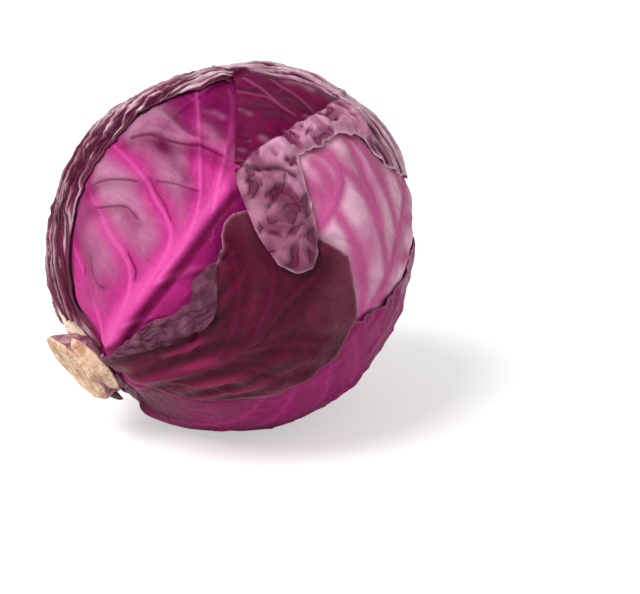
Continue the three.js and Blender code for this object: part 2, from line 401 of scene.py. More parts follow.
class Board:
    """A node tree that is being wired up."""

    def __init__(self, tree: NodeTree) -> None:
        """Takes the tree to wire."""
        self.tree = tree

    def feed(self, node: Node, wires: dict[str | int, Wire]) -> None:
        """Fills some inputs of a node.

        Args:
            node: The node.
            wires: What goes into its inputs: a value is set and a socket is linked.
        """
        for name, value in wires.items():
            if isinstance(value, Socket):
                self.tree.links.new(value, node.inputs[name])
            else:
                node.inputs[name].default_value = value

    def node(self, kind: str, wires: dict[str | int, Wire] | None = None, **settings: object) -> Node:
        """Adds a node.

        Args:
            kind: The node's type name.
            wires: What goes into its inputs.
            **settings: The node's own properties.

        Returns:
            The new node.
        """
        made = self.tree.nodes.new(kind)
        for name, value in settings.items():
            setattr(made, name, value)
        self.feed(made, wires or {})
        return made

    def mix(self, share: Wire, first: Wire, second: Wire, blend: str = "MIX") -> Socket:
        """Mixes a share of the second colour into the first, in one of the ways of blending."""
        wires = {0: share, 6: first, 7: second}
        return self.node("ShaderNodeMix", wires, data_type="RGBA", blend_type=blend).outputs[2]

    def sum(self, operation: str, *values: Wire, clamp: bool = False) -> Socket:
        """Works a number out of others, and keeps it between 0 and 1 if asked to."""
        settings = {"operation": operation, "use_clamp": clamp}
        return self.node("ShaderNodeMath", dict(enumerate(values)), **settings).outputs[0]

    def times(self, first: Wire, second: Wire) -> Socket:
        """Multiplies two numbers."""
        return self.sum("MULTIPLY", first, second)

    def band(self, value: Wire, low: float, high: float, start: float = 0.0, end: float = 1.0) -> Socket:
        """Turns a number's range from low to high into one from start to end, smoothly."""
        wires = {0: value, 1: low, 2: high, 3: start, 4: end}
        return self.node("ShaderNodeMapRange", wires, interpolation_type="SMOOTHSTEP").outputs[0]

    def noise(self, at: Wire, scale: Wire, layers: float = 3, rough: float = 0.5, bend: float = 0) -> Socket:
        """Cloudy noise about 0.5: its scale, its finer layers, how strong those are, and its distortion."""
        wires = {"Vector": at, "Scale": scale, "Detail": layers, "Roughness": rough, "Distortion": bend}
        return self.node("ShaderNodeTexNoise", wires).outputs["Fac"]

    def attribute(self, name: str) -> Socket:
        """Reads a mask that the piece's mesh carries."""
        return self.node("ShaderNodeAttribute", attribute_name=name, attribute_type="GEOMETRY").outputs["Fac"]

    def place(self) -> Socket:
        """The object coordinates."""
        return self.node("ShaderNodeTexCoord").outputs["Object"]


class SocketKind(Enum):
    """The kinds of socket that a node group has."""

    NUMBER = "NodeSocketFloat"
    COLOUR = "NodeSocketColor"
    VECTOR = "NodeSocketVector"


Sockets = dict[str, SocketKind]


def new_group(name: str, takes: Sockets, gives: Sockets) -> tuple[Board, Node, Node]:
    """Starts a node group.

    Args:
        name: The group's name.
        takes: Its inputs.
        gives: Its outputs.

    Returns:
        The board to wire it on, its input node and its output node.
    """
    tree = bpy.data.node_groups.new(name, "ShaderNodeTree")
    for way, sockets in (("INPUT", takes), ("OUTPUT", gives)):
        for label, kind in sockets.items():
            tree.interface.new_socket(label, in_out=way, socket_type=kind.value)
    return Board(tree), tree.nodes.new("NodeGroupInput"), tree.nodes.new("NodeGroupOutput")


def empty_board(owner: Material | bpy.types.World) -> Board:
    """Switches on and clears the nodes of a material or a world.

    Args:
        owner: The material or world.

    Returns:
        The board to wire it on.
    """
    owner.use_nodes = True
    owner.node_tree.nodes.clear()
    return Board(owner.node_tree)


def new_material(name: str) -> tuple[Material, Board, Node]:
    """Starts a material.

    Args:
        name: The material's name.

    Returns:
        The material, the board to wire it on and its Principled shader, already joined to the output.
    """
    material = bpy.data.materials.new(name)
    board = empty_board(material)
    shader = board.node("ShaderNodeBsdfPrincipled")
    board.node("ShaderNodeOutputMaterial", {"Surface": shader.outputs["BSDF"]})
    return material, board, shader


# ---- meshes and pieces


def mesh_of(shape: bmesh.types.BMesh, name: str) -> Mesh:
    """Writes a finished bmesh out as a mesh.

    Args:
        shape: The bmesh, which is freed.
        name: The mesh's name.

    Returns:
        The mesh.
    """
    mesh = bpy.data.meshes.new(name)
    shape.to_mesh(mesh)
    shape.free()
    return mesh


def points_of(mesh: Mesh) -> Array:
    """Reads the points of a mesh.

    Args:
        mesh: The mesh.

    Returns:
        Its points as they stand, one a row.
    """
    flat = np.zeros(len(mesh.vertices) * 3)
    mesh.vertices.foreach_get("co", flat)
    return flat.reshape(-1, 3)


def move_points(mesh: Mesh, points: Array) -> None:
    """Puts the points of a mesh at places given in millimetres."""
    mesh.vertices.foreach_set("co", (points * MM).astype(np.float32).ravel())


def add_mask(mesh: Mesh, name: str, values: Array) -> None:
    """Stores a number at each point of a mesh, for its finish to read."""
    layer = mesh.attributes.new(name, "FLOAT", "POINT")
    layer.data.foreach_set("value", values.astype(np.float32))


def add_object(name: str, data: bpy.types.ID) -> Object:
    """Puts a new object in the scene.

    Args:
        name: Its name.
        data: Its mesh, lamp or camera.

    Returns:
        The object, at the origin.
    """
    made = bpy.data.objects.new(name, data)
    bpy.context.scene.collection.objects.link(made)
    return made


def add_piece(name: str, mesh: Mesh, node: str, finish: LeafFinish | WoodFinish, slot: str) -> Object:
    """Makes a piece of a mesh, gives it its finish and hides the CAD node that it stands for.

    Args:
        name: The piece's name.
        mesh: The mesh in its place.
        node: The CAD node it replaces.
        finish: Its finish.
        slot: Not used.

    Returns:
        The piece.
    """
    piece = add_object(name, mesh)
    mesh.materials.append(bpy.data.materials.get(finish.name) or finish.make())
    mesh.polygons.foreach_set("use_smooth", np.ones(len(mesh.polygons), bool))
    mesh.update()
    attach(piece, BODY)
    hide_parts(node)
    LOG.info("%s: %d faces", piece.name, len(mesh.polygons))
    return piece


# ---- leaf finishes


class Mask(Enum):
    """The masks that a leaf's mesh carries for its finish."""

    DEPTH = "depth"
    GLOW = "glow"
    VEIN = "vein"
    # Waxy bloom together with painted highlights on crests, blisters and puffed panels.
    BLOOM = "bloom"
    # A painted highlight along margins and on pleat and roll crests.
    RIM = "rim"
    # Painted shade in folds, hollows and valleys, near the stalk, under the flap and under other leaves'
    # edges.
    CREASE = "crease"
    BACK = "back"
    # LINE and INK draw fine creases that are darkened as painted shade.
    LINE = "line"
    INK = "ink"


@dataclass(frozen=True)
class LeafColours:
    """The colours of one leaf, 0 to 255: from base to tip, on its veins, its waxy bloom with painted
    highlights, the painted highlight on its rim, the painted shade in its folds and hollows, and its back.
    """

    base: Tone = (204, 52, 138)
    middle: Tone = (172, 46, 112)
    tip: Tone = (118, 22, 66)
    glow: Tone = (222, 60, 154)
    vein: Tone = (236, 116, 186)
    bloom: Tone = (196, 132, 158)
    rim: Tone = (206, 150, 170)
    crease: Tone = (84, 8, 44)
    back: Tone = (98, 52, 70)


SKIN_NUMBERS = {
    "Net Scale": "net_scale",
    "Net Share": "net_share",
    "Patch Scale": "patch_scale",
    "Patch Share": "patch_share",
    "Streak Share": "streak_share",
}


@dataclass(frozen=True)
class LeafFinish:
    """The skin of a leaf: waxy bloom with painted highlights over magenta, painted shade and rim highlights,
    a fine vein net, mottling and a satin gloss.
    """

    name: str
    colours: LeafColours = LeafColours()
    net_scale: float = 150.0
    net_share: float = 0.14
    patch_scale: float = 26.0
    patch_share: float = 0.5
    pucker: float = 0.00045
    gloss: float = 0.34
    dull: float = 0.55
    shine: float = 0.1
    streak_share: float = 0.25

    @staticmethod
    def skin_group() -> NodeTree:
        """Builds the group that lays veins, bloom with painted highlights, mottling, painted shade and
        painted rim highlights over each other, the first time.

        Returns:
            The group.
        """
        name = "leaf_skin"
        if name in bpy.data.node_groups:
            return bpy.data.node_groups[name]
        takes = {"Where": SocketKind.VECTOR, "Layout": SocketKind.VECTOR}
        takes |= {label: SocketKind.NUMBER for label in SKIN_NUMBERS}
        takes |= {mask.value: SocketKind.NUMBER for mask in Mask}
        takes |= {f"{label} colour": SocketKind.COLOUR for label in LeafColours.__dataclass_fields__}
        gives = {"Colour": SocketKind.COLOUR, "Dullness": SocketKind.NUMBER, "Height": SocketKind.NUMBER}
        board, entry, leave = new_group(name, takes, gives)
        read = entry.outputs
        where = read["Where"]

        drift = board.node("ShaderNodeTexNoise", {"Vector": where, "Scale": 60.0, "Detail": 2.0})
        bent = board.node("ShaderNodeVectorMath", {0: drift.outputs["Color"], 3: 0.006}, operation="SCALE")
        bent_place = board.node("ShaderNodeVectorMath", {0: where, 1: bent.outputs[0]}, operation="ADD")
        edges = []
        for factor, width in ((1.0, 0.10), (2.3, 0.13)):
            scale = board.times(read["Net Scale"], factor)
            wires = {"Vector": bent_place.outputs[0], "Scale": scale, "Randomness": 0.9}
            cells = board.node("ShaderNodeTexVoronoi", wires, feature="DISTANCE_TO_EDGE")
            edges.append(board.band(cells.outputs["Distance"], 0.0, width, 1.0, 0.0))
        fine = board.times(edges[1], 0.5)
        worn = board.band(board.noise(where, 38.0, 2.0), 0.35, 0.65)
        net = board.times(board.sum("MAXIMUM", edges[0], fine), worn)

        patches = board.noise(where, read["Patch Scale"], 4.0, 0.6, 0.6)
        patch = board.band(patches, 0.38, 0.66)
        fibres = board.node("ShaderNodeMapping", {"Vector": read["Layout"], "Scale": (190.0, 20.0, 1.0)})
        streak = board.band(board.noise(fibres.outputs[0], 1.0, 4.0, 0.65, 0.4), 0.4, 0.62)
        speckle = board.noise(where, 700.0, 2.0, 0.6)
        freckle = board.noise(where, 240.0, 3.0, 0.6)

        low = board.band(read["depth"], 0.0, 0.5)
        high = board.band(read["depth"], 0.5, 1.0)
        blade = board.mix(low, read["base colour"], read["middle colour"])
        blade = board.mix(high, blade, read["tip colour"])
        dark = board.mix(1.0, blade, (0.45, 0.36, 0.42, 1.0), "MULTIPLY")
        blade = board.mix(board.times(patch, read["Patch Share"]), blade, dark)
        blade = board.mix(board.times(streak, read["Streak Share"]), blade, dark)
        blade = board.mix(board.band(freckle, 0.45, 0.75, 0.0, 0.22), blade, dark)

        # Waxy bloom and painted highlights, broken up by noise, pale the blade.
        bloom_and_sheen_amount = board.band(board.noise(where, 45.0, 4.0, 0.65, 0.4), 0.3, 0.7, 0.45, 1.0)
        bloom_and_sheen_amount = board.times(bloom_and_sheen_amount, read["bloom"])
        with_bloom_and_sheen = board.mix(bloom_and_sheen_amount, blade, read["bloom colour"])
        lit = board.mix(board.times(read["glow"], 0.9), with_bloom_and_sheen, read["glow colour"])
        net_colour = board.mix(read["bloom"], read["vein colour"], read["middle colour"])
        netted = board.mix(board.times(net, read["Net Share"]), lit, net_colour)
        veined = board.mix(read["vein"], netted, read["vein colour"])
        # Fine crease lines and the crease mask darken the colour as painted shade.
        nearness = board.sum("SUBTRACT", 1.0, board.sum("ABSOLUTE", read["line"]))
        line = board.times(board.band(nearness, 0.5, 0.94), read["ink"])
        crease = board.sum("MAXIMUM", read["crease"], board.times(line, 0.8))
        crease_shaded = board.mix(crease, veined, read["crease colour"])
        turned = board.mix(read["back"], crease_shaded, read["back colour"])
        # The back is mottled towards the crease colour, and its fine crease lines get painted shade.
        back_mottle = board.times(board.band(freckle, 0.4, 0.7, 0.0, 0.5), read["back"])
        turned = board.mix(back_mottle, turned, read["crease colour"])
        back_line = board.times(board.times(line, read["back"]), 0.9)
        turned = board.mix(back_line, turned, read["crease colour"])
        # Painted highlight along the rim and on crests, broken up by patches.
        rim_light_share = board.times(read["rim"], board.band(patches, 0.35, 0.6, 0.45, 1.0))
        rim_lit = board.mix(rim_light_share, turned, read["rim colour"])
        grain = board.band(speckle, 0.35, 0.75, 0.0, 0.16)
        grained = board.mix(grain, rim_lit, (1.0, 0.82, 0.9, 1.0), "SOFT_LIGHT")

        dull = board.times(bloom_and_sheen_amount, 0.4)
        dull = board.sum("ADD", dull, board.times(read["back"], 0.6))
        dull = board.sum("ADD", dull, board.band(freckle, 0.3, 0.8, -0.15, 0.25), clamp=True)

        bubbles = board.noise(where, 150.0, 3.0, 0.5, 0.4)
        height = board.sum("ADD", bubbles, board.times(net, -0.05))
        height = board.sum("ADD", height, board.times(speckle, 0.06))
        groove = board.times(streak, board.times(read["Streak Share"], 0.22))
        height = board.sum("SUBTRACT", height, groove)
        height = board.sum("SUBTRACT", height, board.times(line, 0.5))
        board.feed(leave, {"Colour": grained, "Dullness": dull, "Height": height})
        return board.tree

    def make(self) -> Material:
        """Builds the material of this finish.

        Returns:
            The material, which reads the masks on the leaf's mesh.
        """
        material, board, shader = new_material(self.name)
        layout = board.node("ShaderNodeUVMap", uv_map=LAYOUT_NAME).outputs["UV"]
        wires = {"Where": board.place(), "Layout": layout}
        wires |= {label: getattr(self, part) for label, part in SKIN_NUMBERS.items()}
        wires |= {mask.value: board.attribute(mask.value) for mask in Mask}
        for part in LeafColours.__dataclass_fields__:
            wires[f"{part} colour"] = tone(*getattr(self.colours, part))
        group = board.node("ShaderNodeGroup", wires, node_tree=self.skin_group())
        relief = {"Height": group.outputs["Height"], "Distance": self.pucker, "Strength": 1.0}
        finish = {
            "Base Color": group.outputs["Colour"],
            "Roughness": board.band(group.outputs["Dullness"], 0.0, 1.0, self.gloss, self.dull),
            "Normal": board.node("ShaderNodeBump", relief).outputs["Normal"],
            "Specular IOR Level": self.shine,
        }
        board.feed(shader, finish)
        return material


# ---- leaf plans


@dataclass(frozen=True)
class LeafPlan:
    """Where one leaf lies on the head, and its outline.

    The outline is either two margins through given places, or the usual rounded leaf: widest at an
    angle along, half that many degrees wide, and closing to its tip. The base may be cut back from
    the stalk, by (angle across, angle along) places.
    """

    name: str
    azimuth: float
    tip: float = 148.0
    widest: float = 86.0
    half: float = 57.0
    base: float = 7.0
    root: float = 0.0
    fullness: float = 0.8
    near_margin: Path = ()
    far_margin: Path = ()
    near_wobble: float = 0.5
    far_wobble: float = 0.7
    base_cut: Path = ()
    seed: int = 1
    columns: int = 120
    rows: int = 120

    @cached_property
    def edges(self) -> Array:
        """Works out the two edges without their small waves.

        Returns:
            Rows of the angle along, the near edge and the far edge.
        """
        along = np.linspace(self.root, self.tip, OUTLINE_STEPS)
        if self.near_margin:
            near, far = through(self.near_margin, along), through(self.far_margin, along)
        else:
            start = 11.0
            rise = np.clip((along - start) / (self.widest - start), 0, 1)
            past = np.clip((along - self.widest) / (self.tip - self.widest), 0, 1)
            full = np.sin(math.pi / 2 * rise) ** self.fullness
            wide = (self.base + (self.half - self.base) * full) * np.sqrt(1 - past**2)
            near, far = -wide, wide
        return np.array([along, near, far])

    @cached_property
    def outline(self) -> Array:
        """Gives the two edges their small waves.

        Returns:
            The same rows, with waves.
        """
        along, near, far = self.edges
        close = ease(0.0, 12.0, self.tip - along) * ease(14.0, 40.0, along)
        place = along[:, None]
        near_wave, far_wave = (
            Waves(9.0, seed).at(place) + 0.5 * Waves(3.6, seed + 9).at(place)
            for seed in (self.seed, self.seed + 50)
        )
        waves = (self.near_wobble * close * near_wave, self.far_wobble * close * far_wave)
        return np.array([along, near + waves[0], far + waves[1]])

    @cached_property
    def leans(self) -> Array:
        """How much longer each edge is than the midrib it passes, place by place."""
        along, near, far = self.edges
        return np.sqrt(1 + np.array([np.gradient(edge, along) for edge in (near, far)]) ** 2)

    def margins(self, along: Array) -> tuple[Array, Array]:
        """The near edge and the far edge at angles along the leaf."""
        places, near, far = self.outline
        return np.interp(along, places, near), np.interp(along, places, far)

    def angles(self, head: HeadForm, ways: Array) -> tuple[Array, Array]:
        """Finds the place on this leaf that each direction passes through.

        Args:
            head: The head the leaf lies on.
            ways: Unit directions, one a row.

        Returns:
            The angles along, from -30 to 330, and the angles across.
        """
        out = head.azimuth(self.azimuth)
        side = np.cross(head.stem, out)
        across = np.arcsin(np.clip(ways @ side, -1, 1)) / DEGREE
        along = np.arctan2(ways @ out, ways @ head.stem) / DEGREE
        return np.where(along < -30.0, along + 360, along), across

    def ways(self, head: HeadForm, along: Array, across: Array) -> Array:
        """Turns places on this leaf into directions.

        Args:
            head: The head the leaf lies on.
            along: Angles along.
            across: Angles across.

        Returns:
            Unit directions, one a row.
        """
        out = head.azimuth(self.azimuth)
        side = np.cross(head.stem, out)
        a, b = along * DEGREE, across * DEGREE
        return (
            np.outer(np.cos(a) * np.cos(b), head.stem)
            + np.outer(np.sin(a) * np.cos(b), out)
            + np.outer(np.sin(b), side)
        )

    def inset(self, along: Array, across: Array) -> Array:
        """How far inside its edge each place lies.

        Args:
            along: Angles along.
            across: Angles across.

        Returns:
            Degrees inside the edge, less than 0 outside it.
        """
        near, far = self.margins(along)
        near_lean, far_lean = (np.interp(along, self.outline[0], lean) for lean in self.leans)
        sides = np.minimum((across - near) / near_lean, (far - across) / far_lean)
        ends = np.where(along > self.tip, self.tip - along, along - self.root)
        return np.where((along > self.tip) | (along < self.root), np.minimum(sides, ends), sides)

    def cover(self, head: HeadForm, ways: Array, full: float, none: float) -> Array:
        """How much the leaf covers each direction: full and none are degrees outside its edge."""
        return ease(-none, -full, self.inset(*self.angles(head, ways)))

    def lay(self, head: HeadForm, x: Array, y: Array) -> tuple[Array, Array]:
        """Lays a flat grid out on the leaf, with its rows closer together where an edge bends.

        Args:
            head: The head the leaf lies on.
            x: -1 on the near edge to 1 on the far edge.
            y: 0 at the stalk to 1 at the tip.

        Returns:
            The angles along and across.
        """
        clear = math.asin(head.stalk_radius / (head.axial_radius - head.dimple_depth - 1.0))
        steps, near, far = self.outline
        run = np.sqrt(1 + 0.5 * np.gradient(near, steps) ** 2 + 0.5 * np.gradient(far, steps) ** 2)
        walked = np.concatenate([[0.0], np.cumsum(0.5 * (run[1:] + run[:-1]) * np.diff(steps))])
        near_base, far_base = self.margins(np.full(1, FOOT))
        foot = near_base[0] + (far_base[0] - near_base[0]) * (x + 1) / 2
        ratio = np.clip(math.cos(clear) / np.cos(foot * DEGREE), -1, 1)
        start = np.arccos(ratio) / DEGREE
        if self.base_cut:
            cut = through(self.base_cut, foot)
            start = np.where(np.abs(foot) * DEGREE > clear, cut, np.maximum(start, cut))
        begin = np.interp(start, steps, walked)
        along = np.interp(begin + (walked[-1] - begin) * y, walked, steps)
        near, far = self.margins(along)
        return along, near + (far - near) * (x + 1) / 2


# ---- veins


@dataclass(frozen=True)
class Vein:
    """One vein or crease, drawn through places on its leaf as (along, across)."""

    path: Path
    height: float = 1.0
    width: float = 1.8
    taper: float = 0.45
    paint: float = 0.7
    glow: float = 0.8
    reach: float = 7.0

    def line(self, sheet: Sheet) -> Array:
        """The vein's line on a ball of the head's mean radius, in millimetres."""
        drawn = spline(self.path, 4)
        return sheet.plan.ways(sheet.head, drawn[:, 0], drawn[:, 1]) * MEAN_RADIUS

    def near(self, sheet: Sheet) -> tuple[Array, Array]:
        """Measures how far the points of a leaf are from the vein.

        Args:
            sheet: The leaf.

        Returns:
            The distance to the vein and how far along it the nearest place is, from 0 to 1.
        """
        line, points = self.line(sheet), sheet.points
        best = np.full(len(points), np.inf)
        place = np.zeros(len(points))
        for index, (start, end) in enumerate(zip(line, line[1:])):
            step = end - start
            share = np.clip((points - start) @ step / step.dot(step), 0, 1)
            distance = np.linalg.norm(points - start - share[:, None] * step, axis=1)
            closer = distance < best
            best = np.where(closer, distance, best)
            place = np.where(closer, (index + share) / (len(line) - 1), place)
        return best, place

    def side(self, sheet: Sheet) -> tuple[Array, Array]:
        """Measures how far the points are from the vein, and on which side of it they lie.

        Args:
            sheet: The leaf.

        Returns:
            The distance, less than 0 on one side, and how far along the vein the nearest place is.
        """
        distance, place = self.near(sheet)
        line, points = self.line(sheet), sheet.points
        index = np.minimum((place * (len(line) - 1)).astype(int), len(line) - 2)
        turned = np.cross(line[index + 1] - line[index], points - line[index])
        return np.where((turned * points).sum(axis=1) < 0, -distance, distance), place


@dataclass
class VeinField:
    """What the veins of a leaf do to it at each of its points."""

    height: Array
    paint: Array
    glow: Array
    clear: Array

    @classmethod
    def blank(cls, count: int) -> VeinField:
        """A field with no veins for a number of points."""
        return cls(np.zeros(count), np.zeros(count), np.zeros(count), np.full(count, FAR_OFF))

    def add(self, vein: Vein, sheet: Sheet, bounds_panel: bool = True) -> None:
        """Adds one vein to the field.

        Args:
            vein: The vein.
            sheet: The leaf it is on.
            bounds_panel: Whether the blade puffs up between this vein and the next.
        """
        distance, place = vein.near(sheet)
        strength = 1 - (1 - vein.taper) * place
        width = vein.width * strength
        self.height = np.maximum(self.height, vein.height * strength * hump(distance, width))
        self.paint = np.maximum(self.paint, vein.paint * strength * hump(distance, 0.8 * width))
        halo = hump(distance, vein.reach * strength)
        self.glow = np.maximum(self.glow, vein.glow * strength * halo)
        if bounds_panel:
            self.clear = np.minimum(self.clear, distance)


@dataclass(frozen=True)
class Stroke:
    """A stroke of colour and lift along a line on a leaf: soft, or a fine crease where its mask is LINE."""

    mask: Mask
    share: float
    size: float
    lift: float
    path: Path

    def lay(self, sheet: Sheet) -> None:
        """Adds the stroke to a leaf.

        Args:
            sheet: The leaf as shaped so far.
        """
        distance, place = Vein(self.path).side(sheet)
        touch = hump(distance, self.size)
        sheet.relief += self.lift * touch
        if self.mask is Mask.LINE:
            taper = ease(-0.02, 0.06, place) * ease(1.0, 0.88, place)
            sheet.draw(distance / self.size, self.share * taper)
        else:
            sheet.put(self.mask, sheet.masks[self.mask] + self.share * touch)


@dataclass(frozen=True)
class VeinPlan:
    """The veins of a leaf: its midrib, its side veins and the small branches between them."""

    midrib: Vein
    sides: tuple[Vein, ...] = ()
    branch_gap: float = 11.0
    branch_length: float = 17.0
    branch_height: float = 0.22
    seed: int = 1

    @staticmethod
    def pinnate(
        plan: LeafPlan,
        seed: int,
        first: float = 24.0,
        gap: float = 15.0,
        height: float = 0.9,
        width: float = 1.7,
        paint: float = 0.55,
    ) -> VeinPlan:
        """Draws the veins of a usual leaf: a midrib with side veins that leave it turn by turn.

        Args:
            plan: The leaf.
            seed: What the small chances of growth are drawn from.
            first: The angle along of the first side vein.
            gap: Degrees from one side vein to the next.
            height: How far a side vein stands out where it leaves the midrib.
            width: How wide it is there.
            paint: How much of the veins' own colour they show.

        Returns:
            The vein plan.
        """
        rng = np.random.default_rng(seed)
        last = plan.tip - 10.0
        places = np.linspace(FOOT, last, 7)
        near, far = plan.margins(places)
        middle = (near + far) / 2 * ease(0.0, 0.6, (places - FOOT) / last)
        path = tuple(zip(places, middle + rng.uniform(-0.8, 0.8, len(places))))
        midrib = Vein(path, 2.2, 2 * width, 0.3, 1.35 * paint, 1.6 * paint, 10.0)
        sides = []
        for index, root in enumerate(np.arange(first, last - 22.0, gap / 2)):
            side = -1.0 if index % 2 else 1.0
            lean = rng.uniform(0.85, 1.15)
            root_across = float(np.interp(root, places, middle))
            steps = np.array([0.0, 0.25, 0.5, 0.75, 0.92])
            climb = root + np.array([0.0, 10.0, 17.0, 21.0, 24.0]) * lean + rng.uniform(-1, 1, 5)
            edge = plan.margins(np.minimum(climb, last))
            reach = (edge[1] if side > 0 else edge[0]) - root_across
            across = root_across + reach * steps
            climb[0] = root
            sides.append(Vein(tuple(zip(climb, across)), height, width, 0.4, paint, paint, 6.0))
        return VeinPlan(midrib, tuple(sides), seed=seed)

    def branches(self) -> list[Vein]:
        """Grows small branches off both sides of each side vein.

        Returns:
            The branches.
        """
        rng = np.random.default_rng(self.seed + 400)
        grown = []
        for vein in self.sides:
            line = spline(vein.path, 6)
            lengths = np.linalg.norm(np.diff(line, axis=0), axis=1) * MM_PER_DEGREE
            walked = np.concatenate([[0.0], np.cumsum(lengths)])
            for index, stop in enumerate(np.arange(6.0, walked[-1] - 4.0, self.branch_gap / 2)):
                root = np.array([np.interp(stop + rng.uniform(-2, 2), walked, line[:, i]) for i in (0, 1)])
                ahead = np.array([np.interp(stop + 4.0, walked, line[:, i]) for i in (0, 1)]) - root
                ahead = ahead / max(SMALL, float(np.linalg.norm(ahead)))
                turn = (1 if index % 2 else -1) * rng.uniform(40, 65) * DEGREE
                cosine, sine = math.cos(turn), math.sin(turn)
                way = np.array([ahead[0] * cosine - ahead[1] * sine, ahead[0] * sine + ahead[1] * cosine])
                length = self.branch_length / MM_PER_DEGREE * rng.uniform(0.6, 1.2)
                bend = np.array([-way[1], way[0]]) * rng.uniform(-0.2, 0.2) * length
                path = (root, root + way * length * 0.5 + bend, root + way * length)
                points = tuple((float(p[0]), float(p[1])) for p in path)
                grown.append(Vein(points, self.branch_height, 1.1, 0.3, 0.13, 0.16, 3.5))
        return grown

    def field(self, sheet: Sheet) -> VeinField:
        """Works out what all the veins do to a leaf.

        Args:
            sheet: The leaf.

        Returns:
            The field.
        """
        made = VeinField.blank(len(sheet.points))
        for vein in (self.midrib, *self.sides):
            made.add(vein, sheet)
        for vein in self.branches():
            made.add(vein, sheet, bounds_panel=False)
        return made


# ---- leaves


@dataclass
class Sheet:
    """A leaf while it is being shaped: where its points lie, how far they are lifted, and their masks."""

    plan: LeafPlan
    head: HeadForm
    along: Array
    across: Array
    lift: Array
    back: Array

    def __post_init__(self) -> None:
        """Works out where the points lie, and starts with no relief and no creases."""
        count = len(self.along)
        self.ways = self.plan.ways(self.head, self.along, self.across)
        self.points = self.ways * MEAN_RADIUS
        self.inset = self.plan.inset(self.along, self.across)
        self.walked = self.along * MM_PER_DEGREE
        self.sideways = self.across * MM_PER_DEGREE
        self.rim_gap = np.maximum(self.inset, 0) * MM_PER_DEGREE
        self.relief = np.zeros(count)
        self.masks = {Mask.BACK: self.back, Mask.LINE: np.ones(count), Mask.INK: np.zeros(count)}

    def waves(self, length: float, step: int) -> Array:
        """Smooth noise over the leaf, with its own seed for each step."""
        return Waves(length, self.plan.seed + step).at(self.points)

    def strands(self, pitch: float, length: float, step: int) -> Strands:
        """Strands for the leaf, with their own seed for each step."""
        return Strands(pitch, length, self.plan.seed + step)

    def put(self, mask: Mask, values: Array) -> None:
        """Sets a mask, kept between 0 and 1."""
        self.masks[mask] = np.clip(values, 0, 1)

    def top_up(self, mask: Mask, values: Array) -> None:
        """Raises a mask to the values that are higher than it."""
        self.masks[mask] = np.maximum(self.masks[mask], values)

    def fade(self, share: Array, *masks: Mask) -> None:
        """Multiplies masks by a share."""
        for mask in masks:
            self.masks[mask] = self.masks[mask] * share

    def draw(self, side: Array, ink: Array) -> None:
        """Draws fine creases as lines of painted shade wherever they are stronger than the ones drawn before.

        Args:
            side: A field that is 0 along each crease and passes to 1 and -1 beside it.
            ink: How strong the creases are, from 0 to 1.
        """
        nearness = 1 - np.abs(np.clip(side, -1, 1))
        ink = ink * ease(0.05, 0.45, nearness)
        drawn = self.masks[Mask.INK] * (1 - np.abs(self.masks[Mask.LINE]))
        wins = ink * nearness > drawn
        self.masks[Mask.LINE] = np.where(wins, np.clip(side, -1, 1), self.masks[Mask.LINE])
        self.masks[Mask.INK] = np.where(wins, ink, self.masks[Mask.INK])


